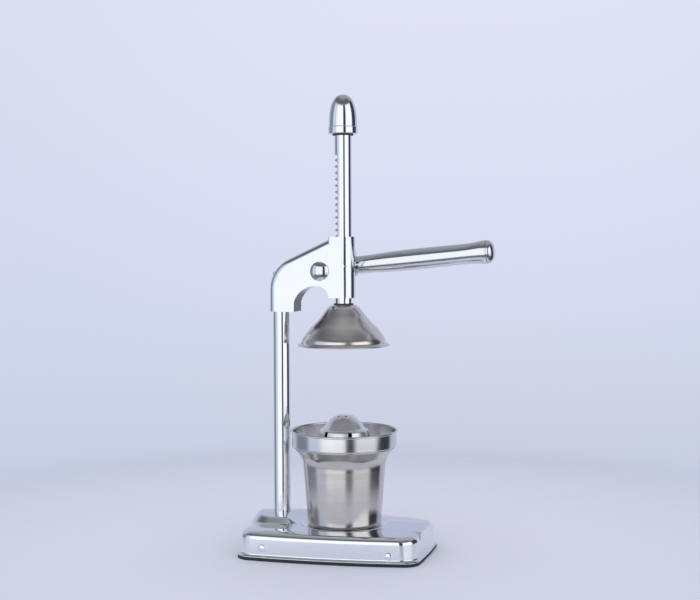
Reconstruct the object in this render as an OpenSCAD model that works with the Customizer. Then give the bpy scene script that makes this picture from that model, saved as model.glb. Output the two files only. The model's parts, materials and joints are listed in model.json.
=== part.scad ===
// Lever citrus juice press: a pressed base carries a column and a cast head, a lever turns a
// pinion in the head, and the pinion drives a toothed rod with a press dome down over a
// strainer that stands on a cup.
// Millimetres. The rod and the cup share the Z axis, the floor is z = 0, the column stands on
// the -X side and the lever points to +X.

/* [Base] */
// Left end of the rubber pad, measured from the rod axis
base_left = 85.8; // [80:0.1:100]
// Right end of the rubber pad, measured from the rod axis
base_right = 75.5; // [68:0.1:95]
// Greatest half width of the rubber pad
base_half_width = 57.3; // [54:0.1:68]
// Distance from the rod axis back to the widest place of the base
base_widest = 50; // [30:1:60]
// Bow radius of the long sides
side_bow_radius = 600; // [450:10:1200]
// Bow radius of the two ends
end_bow_radius = 600; // [400:10:1200]
// Plan radius of the corners at the column end
rear_corner_radius = 14; // [8:0.5:20]
// Plan radius of the corners at the free end
front_corner_radius = 9.5; // [6:0.5:14]
// Thickness of the rubber pad
pad_thickness = 3; // [2:0.1:6]
// How far the rubber pad stands out past the metal lip
pad_overhang = 1; // [0.4:0.1:2]
// Thickness of the pressed sheet
sheet = 1.2; // [0.8:0.1:1.8]
// Height of the wall's shoulder above the pad
shoulder_above_pad = 12; // [11:0.5:21]
// Radius of the shoulder between wall and top
shoulder_radius = 6; // [4:0.5:8]
// Height of the flat top that carries the cup, above the shoulder
seat_above_shoulder = 9.5; // [8.5:0.1:17]
// Width of the lip around the foot of the wall
lip_width = 3.6; // [3:0.1:5]
// Height of the raised bead around the cup seat
bead_height = 0.6; // [0.3:0.1:1.5]
// Height of the hump that carries the column, above the cup's seat
hump_above_seat = 5.1; // [3:0.1:11]
// Half width of the hump
hump_half_width = 22; // [18:0.5:30]
// Diameter of the four rivets' heads
rivet_head_diameter = 5.4; // [4:0.1:8]
// Diameter of the four rivets' shanks
rivet_shank_diameter = 3; // [2:0.1:3.8]
// Height of the rivets above the pad
rivet_above_pad = 7.7; // [6.5:0.1:8.5]
// Distance of the rivets from where the corners of the wall end
rivet_setback = 9.8; // [8:0.1:24]
// Thickness of the stiffening plate inside the base
stiffener_sheet = 2; // [1.5:0.1:3]

/* [Column] */
// Gap between the strainer's rim and the column
column_gap = 3; // [0.6:0.1:8]
// Diameter of the column
column_diameter = 14.8; // [13:0.1:16]
// Diameter of the threaded spigot below the column
spigot_diameter = 10; // [8:0.5:11]
// Width of the column nut across its flats
column_nut_width = 17; // [15:0.5:20]
// Height of the column nut
column_nut_height = 7; // [5:0.5:7.5]

/* [Head] */
// Thickness of the cast head from front to back
head_thickness = 20.6; // [20:0.1:26]
// From the pinion axis down to the underside of the head's column socket
socket_drop = 35.6; // [32:0.1:44]
// From the pinion axis down to where the socket's upright outside ends and the bend starts
bend_drop = 16.6; // [12:0.1:20]
// Wall of the column socket on its outer side
socket_outer_wall = 1.3; // [1:0.1:5]
// Wall of the column socket on its side towards the rod
socket_inner_wall = 7.6; // [5:0.1:9]
// Depth of the column in its socket
socket_depth = 35; // [26:0.5:36]
// Radius of the head's outer bend
head_bend_radius = 29.8; // [27:0.1:34]
// Slope of the head's top edge, in degrees
head_slope = 24.9; // [20:0.1:26]
// Radius of the rounding along the head's outer edge
head_edge_radius = 6.5; // [3:0.1:8]
// From the pinion axis down to the underside of the rod guide
guide_drop = 23.2; // [21:0.1:26]
// From the pinion axis up to the top of the rod guide
guide_rise = 29.9; // [28:0.1:38]
// Radius of the arch beside the socket
arch_large_radius = 19.7; // [18:0.1:21]
// Radius of the arch beside the guide
arch_small_radius = 10.6; // [9.5:0.1:11]
// Thickness of the cheek in front of the pinion
front_cheek = 3.7; // [3:0.1:4.4]
// Thickness of the bearing plate behind the pinion
bearing_plate_thickness = 3.2; // [2.6:0.1:4]
// Diameter of the set screw that clamps the column
set_screw_diameter = 5; // [4:0.5:6]

/* [Gearing] */
// Height of the pinion axis above the floor; the head, the rod and the dome go with it
pinion_height = 244.6; // [225:0.1:270]
// Tooth module of the rack and pinion
gear_module = 1.75; // [1.7:0.01:1.8]
// Number of tooth places around the pinion
pinion_teeth = 15; // [15:1:15]
// Tooth places left bare, where the rod can slip past
bare_places = 4; // [0:1:6]
// Pressure angle of the teeth, in degrees
pressure_angle = 20; // [18:1:22]
// Play between the teeth, at the pitch line
backlash = 0.24; // [0.15:0.01:0.4]
// Diameter of the shaft inside the pinion and the lever hub
shaft_diameter = 12; // [10:0.5:13]
// Diameter of the shaft's front journal
front_journal_diameter = 10; // [8:0.5:10]
// Diameter of the shaft's rear journal
rear_journal_diameter = 14; // [13:0.5:15]
// Diameter of the domed cap on the shaft's front end
shaft_cap_diameter = 16.6; // [14:0.1:20]
// Height of the domed cap
shaft_cap_height = 4.6; // [3.6:0.1:7]
// Width of the square drive keys
key_width = 3; // [2:0.1:3.6]

/* [Rod] */
// Diameter of the rod
rod_diameter = 14.8; // [13.6:0.1:15.2]
// Distance of the teeth's flat tips from the rod axis
rack_flat = 7.125; // [7:0.005:7.2]
// From the pinion axis up to the highest place that the rod's teeth reach
rack_rise = 101.4; // [80:0.1:110]
// From the pinion axis down to the lowest place that the rod's teeth reach
rack_drop = 15.6; // [13:0.1:18]
// From the pinion axis up to the underside of the cap's collar
cap_rise = 119; // [112:0.1:135]
// Diameter of the collar of the rod's cap
cap_collar_diameter = 25.8; // [22:0.1:30]
// Height of the collar of the rod's cap
cap_collar_height = 6.4; // [4:0.1:9]
// Height of the whole cap
cap_height = 34; // [30:0.5:40]
// Thickness of the bumper washer under the cap
bumper_thickness = 1.3; // [1:0.1:3]
// Diameter of the bumper washer
bumper_diameter = 18; // [16.4:0.2:24]

/* [Press dome] */
// From the pinion axis down to the dome's lip
dome_drop = 64; // [60:0.1:72]
// Radius of the dome's lip
dome_lip_radius = 40.3; // [38.5:0.1:44]
// Height of the dome from its lip to its flat top
dome_height = 34.8; // [32:0.1:36]
// Wall of the dome
dome_wall = 1.1; // [0.8:0.1:1.6]
// Diameter of the stud that holds the dome
dome_stud_diameter = 8; // [6:0.5:9]
// Thickness of the seal washer on the dome
dome_washer_thickness = 1; // [0.6:0.1:1.4]

/* [Lever] */
// Rise of the lever above level, in degrees
lever_rise = 5.5; // [0:0.5:12]
// How far the lever's arm lies behind the hub's front face
arm_setback = 0.8; // [0.2:0.1:8]
// Distance from the pinion axis to the hub's end face
hub_reach = 25.6; // [24:0.1:30]
// Radius of the hub around the shaft
hub_radius = 12.4; // [11:0.1:12.8]
// Thickness of the hub around the shaft
hub_thickness = 9; // [7:0.1:11]
// Distance from the pinion axis to the seam of the end cap
handle_reach = 142.2; // [120:0.1:180]
// Handle diameter where it leaves the hub
handle_root_diameter = 14.2; // [13:0.1:16]
// Handle diameter at its thick end
handle_end_diameter = 19.4; // [17:0.1:24]
// Wall of the handle tube
handle_wall = 1.8; // [1.2:0.1:2.2]
// Length of the domed end cap
end_cap_length = 6.7; // [5:0.1:10]
// Diameter of the stub that carries the handle
stub_diameter = 10; // [8:0.1:10.6]

/* [Cup and strainer] */
// Radius of the cup's foot
cup_foot_radius = 32; // [28:0.1:34]
// Radius of the cup's body at its shoulder
cup_shoulder_radius = 36.2; // [34:0.1:38]
// Height of the cup's body from foot to shoulder
cup_body_height = 54.5; // [44:0.5:58]
// Radius of the cup's flared mouth
cup_mouth_radius = 45; // [42:0.1:46.5]
// Height of the flare from shoulder to mouth
cup_flare_height = 12.8; // [9:0.1:14]
// Wall of the cup
cup_wall = 0.9; // [0.7:0.05:1.4]
// Outer radius of the strainer's upright band
band_radius = 45.6; // [43:0.1:47]
// Height of the strainer's upright band
band_height = 12; // [9:0.1:15]
// Radius of the strainer's rolled rim
rim_radius = 47; // [44.5:0.1:49]
// Wall of the strainer
strainer_wall = 0.9; // [0.7:0.05:1.3]
// Height of the reamer dome above the dish floor
reamer_height = 27.6; // [22:0.1:30]
// Radius of the reamer dome at its foot
reamer_foot_radius = 25; // [22:0.1:28]
// Number of juice slots around the reamer's foot
foot_slots = 12; // [6:1:16]
// Number of small holes around the reamer's top
top_holes = 6; // [4:1:8]

/* [Hidden] */
$fn = 96;

// Clearances: one for pieces that turn or slide, one for pieces that are fixed in each other
running_clearance = 0.06;
fixed_clearance = 0.04;
// Extra length of a cutting shape past the face that it opens
cut_over = 1;

rod_radius = rod_diameter / 2;
column_radius = column_diameter / 2;
head_half = head_thickness / 2;
pitch_radius = gear_module * pinion_teeth / 2;
tooth_addendum = gear_module;
tooth_dedendum = 1.25 * gear_module;
rack_pitch = PI * gear_module;
tip_radius = pitch_radius + tooth_addendum;
root_radius = pitch_radius - tooth_dedendum;
pinion_place = rack_flat - tooth_addendum + pitch_radius;
tip_clearance = 0.6;
chamber_radius = tip_radius + tip_clearance;

// The column stands clear of the strainer's rim, and its socket is set around it
column_place = rim_radius + column_gap + column_radius;
head_left = column_place + column_radius + socket_outer_wall;
socket_inner = column_place - column_radius - socket_inner_wall;
spigot_radius = spigot_diameter / 2;
spacer_radius = column_radius - 0.4;

// Heights above the floor that follow the pad
shoulder_height = pad_thickness + shoulder_above_pad;
seat_height = shoulder_height + seat_above_shoulder;
hump_height = seat_height + hump_above_seat;
rivet_height = pad_thickness + rivet_above_pad;

// Heights above the floor that follow the pinion axis
socket_bottom = pinion_height - socket_drop;
socket_top = pinion_height - bend_drop;
guide_bottom = pinion_height - guide_drop;
guide_top = pinion_height + guide_rise;
cap_bottom = pinion_height + cap_rise;
dome_lip_height = pinion_height - dome_drop;

// ---------- shared helpers ----------

// Points of an arc, from one angle to another
function arc(centre, radius, from, to, steps) =
    [for (i = [0:steps]) let (a = from + (to - from) * i / steps)
        centre + radius * [cos(a), sin(a)]];

// Crossing of two circles, on the left of the line from the first centre to the second
function circle_crossing(a, radius_a, b, radius_b) =
    let (gap = norm(b - a),
         along = (b - a) / gap,
         reach = (radius_a * radius_a - radius_b * radius_b + gap * gap) / (2 * gap),
         rise = sqrt(radius_a * radius_a - reach * reach))
    a + reach * along + rise * [-along.y, along.x];

function direction(from, to) = atan2(to.y - from.y, to.x - from.x);

// Smooth step from 0 to 1
function ease(t) = t * t * (3 - 2 * t);

// A hexagonal nut or head, its flats as wide as asked, around the Z axis
module hexagon(width, height) {
    linear_extrude(height) circle(d = width / cos(30), $fn = 6);
}

// Puts children's Z axis along +Y at the given place
module along_y(x, y, z) {
    translate([x, y, z]) rotate([-90, 0, 0]) children();
}

// Frame of the lever: X runs out along the handle, the origin is on the pinion axis
module lever_frame() {
    translate([-pinion_place, 0, pinion_height]) rotate([0, -lever_rise, 0]) children();
}

// ---------- base ----------

side_centre = [-base_widest, base_half_width - side_bow_radius];
front_centre = [base_right - end_bow_radius, 0];
rear_centre = [end_bow_radius - base_left, 0];

// One half of the base outline, drawn inwards from the pad's edge by an inset
function half_outline(inset) =
    let (front_corner = circle_crossing(front_centre, end_bow_radius - inset - front_corner_radius,
                                        side_centre, side_bow_radius - inset - front_corner_radius),
         rear_corner = circle_crossing(side_centre, side_bow_radius - inset - rear_corner_radius,
                                       rear_centre, end_bow_radius - inset - rear_corner_radius),
         front_turn = direction(front_centre, front_corner),
         front_side = direction(side_centre, front_corner),
         rear_side = direction(side_centre, rear_corner),
         rear_turn = direction(rear_centre, rear_corner))
    concat(arc(front_centre, end_bow_radius - inset, 0, front_turn, 4),
           arc(front_corner, front_corner_radius, front_turn, front_side, 6),
           arc(side_centre, side_bow_radius - inset, front_side, rear_side, 10),
           arc(rear_corner, rear_corner_radius, rear_side, rear_turn, 7),
           arc(rear_centre, end_bow_radius - inset, rear_turn, 180, 4));

// The whole outline, without its doubled points
function base_outline(inset) =
    let (half = half_outline(inset),
         single = [for (i = [0:len(half) - 1])
                       if (i == 0 || norm(half[i] - half[i - 1]) > 0.01) half[i]])
    concat(single, [for (i = [len(single) - 2:-1:1]) [single[i].x, -single[i].y]]);

// The outline drawn towards a circle around the cup, t = 1 being the circle itself
function towards_circle(outline, radius, t) =
    [for (p = outline) (1 - t) * p + t * radius * p / norm(p)];

function at_height(outline, z) = [for (p = outline) [p.x, p.y, z]];

// Solid between stacked rings of as many points each, closed by flat ends
module loft(rings) {
    count = len(rings[0]);
    last = len(rings) - 1;
    polyhedron(
        points = [for (ring = rings) each ring],
        faces = concat(
            [[for (i = [0:count - 1]) i]],
            [for (k = [0:last - 1], i = [0:count - 1])
                let (a = k * count + i, b = k * count + (i + 1) % count)
                each [[a, a + count, b], [b, a + count, b + count]]],
            [[for (i = [count - 1:-1:0]) last * count + i]]));
}

lip_rise = 1.3;
base_top = pad_thickness + lip_rise;
wall_inset = pad_overhang + lip_width;
wall_draft = 1;
foot_fillet = 2.6;
shoulder_inset = wall_inset + wall_draft + shoulder_radius;
crown_inset = shoulder_inset + 3.4;
seat_margin = 4;
seat_radius = cup_foot_radius + seat_margin;
bead_width = 2.4;
// The crown is level from the cup out to a little past the bead
crown_radius = seat_radius + bead_width + 0.8;

// Inset and height of the outside of the pressing, from its lip up to the crown
outside_profile = concat(
    [[pad_overhang, pad_thickness], [pad_overhang, base_top]],
    arc([wall_inset - foot_fillet, base_top + foot_fillet], foot_fillet, 270, 360, 3),
    arc([shoulder_inset, shoulder_height], shoulder_radius, 180, 105, 5));

// Inset and height of the inside, one sheet thickness away
inside_profile = concat(
    [[wall_inset + sheet, pad_thickness - cut_over],
     [wall_inset + sheet, base_top + foot_fillet]],
    arc([shoulder_inset, shoulder_height], shoulder_radius - sheet, 180, 105, 5));

// The body of the pressing: profile rings, then the crown drawn in to the cup's circle
module pressing(profile, top, ring_radius) {
    edge = profile[len(profile) - 1];
    crown = base_outline(crown_inset);
    loft(concat(
        [for (level = profile) at_height(base_outline(level[0]), level[1])],
        [for (t = [0.15:0.2:1])
            at_height(towards_circle(crown, ring_radius, ease(t)), edge[1] + (top - edge[1]) * sqrt(t))],
        [at_height(towards_circle(crown, ring_radius, 1), top)]));
}

hump_left = base_left - 6;
hump_corner = 6;
hump_edge = 3;
hump_plan_corner = 12;
hump_flare = 0.8;
// The ramp ends a little below the crown
ramp_dip = 0.4;
ramp_start = column_place - column_radius - 1;
ramp_end = seat_radius + bead_width;

// The hump that carries the column, drawn in all round by an inset
module hump(inset) {
    top = hump_height - inset;
    side = hump_half_width - inset;
    left = -hump_left + inset;
    foot = shoulder_height - 3 * inset;
    flare = hump_flare;
    edge = hump_edge - inset;
    corner = hump_plan_corner - inset;
    ramp_fall = hump_height - seat_height + ramp_dip;
    ramp = [for (t = [0:0.1:1])
                [-ramp_start - inset + (ramp_start - ramp_end) * t, top - ease(t) * ramp_fall]];
    intersection() {
        rotate([90, 0, 0]) linear_extrude(2 * hump_half_width + 2, center = true)
            polygon(concat(
                [[left - flare, foot]],
                arc([left + hump_corner, top - hump_corner], hump_corner, 180, 90, 6),
                ramp, [[-ramp_end - inset, foot]]));
        translate([-base_left, 0, 0]) rotate([90, 0, 90]) linear_extrude(base_left)
            polygon(concat(
                [[side + flare, foot - cut_over]],
                arc([side - edge, top - edge], edge, 0, 90, 4),
                arc([edge - side, top - edge], edge, 90, 180, 4),
                [[-side - flare, foot - cut_over]]));
        linear_extrude(hump_height + cut_over) {
            translate([left - flare + corner, -side - flare])
                square([base_left, 2 * (side + flare)]);
            for (y = [-1, 1])
                translate([left - flare + corner, y * (side + flare - corner)]) circle(corner);
            translate([left - flare, corner - side - flare])
                square([corner, 2 * (side + flare - corner)]);
        }
    }
}

// Lean of the base's long walls, in degrees
wall_lean = atan(wall_draft / (shoulder_height - base_top - foot_fillet));
rivet_inset = wall_inset + (rivet_height - base_top - foot_fillet) * tan(wall_lean);
rear_rivet_place = base_left - wall_inset - rear_corner_radius - rivet_setback;
front_rivet_place = base_right - wall_inset - front_corner_radius - rivet_setback;

// The two rivets of each long wall, their Z axis square to the wall and pointing outwards
module at_rivets() {
    for (x = [-rear_rivet_place, front_rivet_place], side = [-1, 1]) {
        radius = side_bow_radius - rivet_inset;
        turn = acos((x - side_centre.x) / radius);
        translate([x, side * (side_centre.y + radius * sin(turn)), rivet_height])
            rotate([0, 0, side * turn]) rotate([0, 90 - wall_lean, 0]) children();
    }
}

rivet_clearance = 0.05;

module rivet_bores() {
    reach = 2 * (sheet + stiffener_sheet) + cut_over;
    at_rivets() translate([0, 0, -reach])
        cylinder(h = reach + cut_over, d = rivet_shank_diameter + 2 * rivet_clearance);
}

// Flexible pad over the whole underside of the base
module rubber_pad() {
    color("#1b1b1d") linear_extrude(pad_thickness) polygon(base_outline(0));
}

// Pressed and plated sheet base with its hump and its cup seat
module base_shell() {
    color("#d9dde6") difference() {
        union() {
            pressing(outside_profile, seat_height, crown_radius);
            hump(0);
            translate([0, 0, seat_height - sheet / 2])
                cylinder(h = sheet / 2 + bead_height, r = seat_radius + bead_width);
        }
        pressing(inside_profile, seat_height - sheet, crown_radius);
        hump(sheet);
        translate([0, 0, seat_height])
            cylinder(h = bead_height + cut_over, r1 = seat_radius, r2 = seat_radius + bead_height + cut_over);
        translate([-column_place, 0, seat_height])
            cylinder(h = hump_height, r = spigot_radius + spigot_clearance);
        rivet_bores();
    }
}

// The plate reaches a little way up into the shoulder, and keeps clear of its curve
stiffener_rise = 2;
stiffener_top = shoulder_height + stiffener_rise;
stiffener_bottom = stiffener_top - stiffener_sheet;
flange_gap = 0.15;
flange_inset = wall_inset + wall_draft + sheet + flange_gap;
flange_bottom = pad_thickness + 3;
flange_overlap = 0.5;
flange_rear_end = rear_rivet_place + 12;
flange_front_end = front_rivet_place + 4;
spigot_clearance = 0.2;

// Plate under the top with a flange down each long side, held by the rivets
module base_stiffener() {
    inner_radius = shoulder_radius - sheet;
    plate_inset = flange_inset + flange_gap
                  + inner_radius - sqrt(inner_radius * inner_radius - stiffener_rise * stiffener_rise);
    color("#9aa0a8") difference() {
        union() {
            translate([0, 0, stiffener_bottom]) linear_extrude(stiffener_sheet)
                polygon(base_outline(plate_inset));
            intersection() {
                translate([0, 0, flange_bottom])
                    linear_extrude(stiffener_bottom - flange_bottom + flange_overlap)
                    difference() {
                        polygon(base_outline(flange_inset));
                        polygon(base_outline(flange_inset + stiffener_sheet));
                    }
                translate([-flange_rear_end, -base_half_width, 0])
                    cube([flange_rear_end + flange_front_end, 2 * base_half_width, base_left]);
            }
        }
        translate([-column_place, 0, 0])
            cylinder(h = stiffener_top + cut_over, r = spigot_radius + spigot_clearance);
        rivet_bores();
    }
}

// Four rivets through the walls and the stiffener's flanges
module base_rivets() {
    head_rise = 1.1;
    seat_gap = 0.05;
    tail_height = 1;
    tail_flare = 0.8;
    grip = flange_inset - rivet_inset + stiffener_sheet + 0.35;
    head_radius = rivet_head_diameter / 2;
    ball = (head_radius * head_radius + head_rise * head_rise) / (2 * head_rise);
    color("#c9ced8") at_rivets() {
        intersection() {
            translate([0, 0, head_rise - ball + seat_gap]) sphere(ball);
            translate([0, 0, seat_gap]) cylinder(h = head_rise + cut_over, r = head_radius);
        }
        translate([0, 0, -grip - tail_height / 2])
            cylinder(h = grip + (tail_height + head_rise) / 2, d = rivet_shank_diameter);
        translate([0, 0, -grip - tail_height])
            cylinder(h = tail_height, d = rivet_shank_diameter + 2 * tail_flare);
    }
}

// ---------- column ----------

column_top = socket_bottom + socket_depth;
column_chamfer = 0.8;
washer_thickness = 1.5;
washer_margin = 2.5;
nut_top = stiffener_bottom - washer_thickness;
spigot_bottom = nut_top - column_nut_height - 0.6;

// Plated column, turned down below the hump into a threaded spigot
module column_rod() {
    straight = column_top - hump_height - column_chamfer;
    color("#e4e7ee") translate([-column_place, 0, 0]) {
        translate([0, 0, hump_height]) cylinder(h = straight, r = column_radius);
        translate([0, 0, hump_height + straight])
            cylinder(h = column_chamfer, r1 = column_radius, r2 = column_radius - column_chamfer);
        translate([0, 0, spigot_bottom]) cylinder(h = hump_height - spigot_bottom, r = spigot_radius);
    }
}

// Tube between the hump and the stiffener, so that the nut cannot crush the sheet
module column_spacer() {
    color("#9aa0a8") translate([-column_place, 0, stiffener_top]) difference() {
        cylinder(h = hump_height - sheet - stiffener_top, r = spacer_radius);
        translate([0, 0, -cut_over])
            cylinder(h = hump_height, r = spigot_radius + spigot_clearance);
    }
}

module column_washer() {
    color("#b9bdc4") translate([-column_place, 0, nut_top]) difference() {
        cylinder(h = washer_thickness, r = column_nut_width / 2 + washer_margin);
        translate([0, 0, -cut_over])
            cylinder(h = washer_thickness + 2 * cut_over, r = spigot_radius + spigot_clearance);
    }
}

module column_nut() {
    color("#b9bdc4") translate([-column_place, 0, nut_top - column_nut_height]) difference() {
        hexagon(column_nut_width, column_nut_height);
        translate([0, 0, -cut_over])
            cylinder(h = column_nut_height + 2 * cut_over, r = spigot_radius + fixed_clearance);
    }
}

// ---------- head ----------

bend_centre = [head_bend_radius - head_left, socket_top];
guide_back = head_half + 0.6;
arch_rise = 10.4;
arch_top = guide_bottom + arch_rise;
// The large arc runs a little past the socket's inner face, the small one a little into the guide
arch_undercut = 0.6;
arch_bite = 0.2;
arch_large = [arch_large_radius - arch_undercut - socket_inner, arch_top - arch_large_radius];
arch_small = [arch_bite - guide_back - arch_small_radius, arch_top - arch_small_radius];
// How far the arm reaches into the guide
arm_overlap = 3;
// The band is swept about the bend's centre, so its depth stays short of the bend's radius
bend_core = 2;
arm_depth = head_bend_radius - bend_core;
web_left = bend_centre.x - 2 * bend_core;
web_left_top = bend_centre.y + head_bend_radius / 2;
web_right_top = pinion_height + chamber_radius / 2;
web_right = arm_overlap - guide_back;
slope_length = (web_right - bend_centre.x + head_bend_radius * sin(head_slope)) / cos(head_slope);
chamber_front = front_cheek - head_half;
plate_inner = head_half - bearing_plate_thickness;

// The window between the socket and the guide: an arch of two radii, open downwards
module arch_window() {
    below = socket_bottom - cut_over;
    springing = acos((-socket_inner - arch_large.x) / arch_large_radius);
    rotate([90, 0, 0]) linear_extrude(head_thickness + 2 * cut_over, center = true)
        polygon(concat(
            [[-socket_inner, below]],
            arc(arch_large, arch_large_radius, springing, 90, 18),
            arc(arch_small, arch_small_radius, 90, 0, 18),
            [[arch_small.x + arch_small_radius, guide_bottom], [head_left, guide_bottom],
             [head_left, below]]));
}

// Section of the arm's outer band: x runs inwards from its outer line, both edges rounded
module arm_section() {
    rounding = min(head_edge_radius, head_half - bend_core);
    translate([rounding, -head_half]) square([arm_depth - rounding, head_thickness]);
    translate([0, rounding - head_half]) square([arm_depth, head_thickness - 2 * rounding]);
    for (side = [-1, 1]) translate([rounding, side * (head_half - rounding)]) circle(rounding);
}

// The arm before its window is cut: a band up the socket, round the bend and along the
// sloping top, and a flat web below the slope
module head_arm() {
    translate([-head_left, 0, socket_bottom]) linear_extrude(socket_top - socket_bottom) arm_section();
    translate([bend_centre.x, 0, bend_centre.y]) {
        rotate([90, 0, 0]) rotate([0, 0, 90 + head_slope]) rotate_extrude(angle = 90 - head_slope)
            translate([head_bend_radius, 0]) mirror([1, 0]) arm_section();
        rotate([0, -head_slope, 0]) translate([0, 0, head_bend_radius]) rotate([0, 90, 0])
            linear_extrude(slope_length) arm_section();
    }
    rotate([90, 0, 0]) linear_extrude(head_thickness, center = true)
        polygon([[web_left, arch_large.y], [web_left, web_left_top],
                 [web_right, web_right_top], [web_right, arch_large.y]]);
}

// The upright guide for the rod: flat cheeks towards the arm and a full round nose
module rod_guide() {
    corner = 1.5;
    translate([0, 0, guide_bottom]) linear_extrude(guide_top - guide_bottom) {
        circle(head_half);
        translate([corner - guide_back, -head_half]) square([guide_back - corner, head_thickness]);
        translate([-guide_back, corner - head_half]) square([guide_back, head_thickness - 2 * corner]);
        for (side = [-1, 1])
            translate([corner - guide_back, side * (head_half - corner)]) circle(corner);
    }
}

plate_screw_diameter = 2.6;
plate_screw_depth = 6;
plate_screw_ring = chamber_radius + 0.73 * plate_screw_diameter;
plate_screw_angles = [75, 150, 210];
set_screw_height = socket_bottom + 2 * set_screw_diameter;

// The three screws around the bearing plate, from the casting's back face outwards
module at_plate_screws() {
    for (angle = plate_screw_angles)
        along_y(-pinion_place + plate_screw_ring * cos(angle), head_half,
                pinion_height + plate_screw_ring * sin(angle)) children();
}

// Cast head: column socket, arched arm, pinion chamber and rod guide in one piece
module head_casting() {
    color("#e9ecf2") difference() {
        union() {
            head_arm();
            rod_guide();
        }
        arch_window();
        translate([0, 0, guide_bottom - cut_over])
            cylinder(h = guide_top - guide_bottom + head_bend_radius, r = rod_radius + running_clearance);
        translate([-column_place, 0, socket_bottom - cut_over])
            cylinder(h = socket_depth + cut_over, r = column_radius + fixed_clearance);
        along_y(-pinion_place, chamber_front, pinion_height)
            cylinder(h = head_thickness, r = chamber_radius);
        along_y(-pinion_place, -head_half - cut_over, pinion_height)
            cylinder(h = head_thickness, r = front_journal_diameter / 2 + running_clearance);
        along_y(-column_place, 0, set_screw_height)
            cylinder(h = head_half + cut_over, d = set_screw_diameter);
        at_plate_screws() translate([0, 0, -plate_screw_depth])
            cylinder(h = plate_screw_depth + cut_over, d = plate_screw_diameter + 2 * fixed_clearance);
    }
}

// Grub screw in the back of the socket
module column_set_screw() {
    recess = 0.3;
    hex_depth = 1.6;
    screw_length = head_half - column_radius - recess;
    color("#8d9299") along_y(-column_place, column_radius + 0.05, set_screw_height)
        difference() {
            cylinder(h = screw_length, d = set_screw_diameter - 2 * fixed_clearance);
            translate([0, 0, screw_length - hex_depth]) hexagon(set_screw_diameter / 2, 2 * hex_depth);
        }
}

// Round plate that closes the pinion chamber at the back and carries the shaft
module bearing_plate() {
    color("#c8ccd3") difference() {
        along_y(-pinion_place, plate_inner, pinion_height) difference() {
            cylinder(h = bearing_plate_thickness, r = chamber_radius - fixed_clearance);
            translate([0, 0, -cut_over])
                cylinder(h = bearing_plate_thickness + 2 * cut_over,
                         r = rear_journal_diameter / 2 + running_clearance);
        }
        arch_window();
        cylinder(h = guide_top, r = rod_radius + running_clearance);
    }
}

// Three small screws beside the bearing plate, their heads over its rim
module bearing_plate_screws() {
    seat_gap = 0.02;
    head_height = 0.6;
    slot = 0.3;
    color("#8d9299") at_plate_screws() difference() {
        union() {
            translate([0, 0, seat_gap]) cylinder(h = head_height, d = 2.08 * plate_screw_diameter);
            translate([0, 0, 0.5 - plate_screw_depth])
                cylinder(h = plate_screw_depth - 0.3, d = plate_screw_diameter);
        }
        translate([-plate_screw_diameter, -slot, head_height - slot])
            cube([2 * plate_screw_diameter, 2 * slot, cut_over]);
    }
}

// ---------- gearing ----------

side_play = 0.4;
pinion_front = chamber_front + side_play;
pinion_back = plate_inner - side_play;
base_circle = pitch_radius * cos(pressure_angle);

// Involute angle, in degrees, at the place where the flank leans by the given angle
function involute(lean) = tan(lean) * 180 / PI - lean;

// Half the angle of a tooth at a radius
function half_tooth(radius) =
    90 / pinion_teeth - backlash / 2 / pitch_radius * 90 / PI + involute(pressure_angle)
    - involute(acos(min(1, base_circle / radius)));

// Outline of one tooth place: a tooth, or the bare root circle
function tooth_place(place, toothed) =
    let (middle = 360 / pinion_teeth * place,
         radii = [for (i = [0:5]) base_circle + (tip_radius - base_circle) * i / 5],
         flank = [for (r = radii) [r, half_tooth(r)]],
         foot = [root_radius, half_tooth(base_circle) + foot_spread])
    toothed
        ? [for (p = concat([[foot[0], -foot[1]]], [for (f = flank) [f[0], -f[1]]],
                           [for (i = [5:-1:0]) flank[i]], [foot]))
              p[0] * [cos(middle + p[1]), sin(middle + p[1])]]
        : [for (i = [-1:1]) let (a = middle + 120 / pinion_teeth * i) root_radius * [cos(a), sin(a)]];

// How much wider a tooth's foot is than its flank, in degrees to each side
foot_spread = 1.5;
first_bare = 9;

// Toothed wheel on the shaft; the bare places let the rod be lifted by hand
module pinion() {
    outline = [for (place = [0:pinion_teeth - 1])
                   each tooth_place(place, place < first_bare || place >= first_bare + bare_places)];
    color("#a9adb5") difference() {
        along_y(-pinion_place, pinion_front, pinion_height) mirror([0, 1, 0])
            linear_extrude(pinion_back - pinion_front) difference() {
                polygon(outline);
                circle(d = shaft_diameter + 2 * fixed_clearance);
            }
        key_bar(pinion_front - cut_over, pinion_back + cut_over, fixed_clearance);
    }
}

// Square bar half in the shaft and half in what the shaft drives
module key_bar(from, to, grow) {
    lever_frame() translate([-key_width / 2 - grow, from, shaft_diameter / 2 - key_width / 2 - grow])
        cube([key_width + 2 * grow, to - from, key_width + 2 * grow]);
}

thrust_washer = 0.8;
washer_play = 0.1;
hub_front = head_half + thrust_washer + 2 * washer_play;
hub_back = hub_front + hub_thickness;
// The nut's seat is cut a little into the hub's back
nut_seat = hub_back - 0.3;
hub_nut_height = 5;
hub_nut_width = 13;
thread_diameter = 8;

module pinion_key() {
    color("#8d9299") key_bar(pinion_front + 1, pinion_back - 1, 0);
}

module hub_key() {
    color("#8d9299") key_bar(hub_front + 1, hub_back - 1, 0);
}

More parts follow.
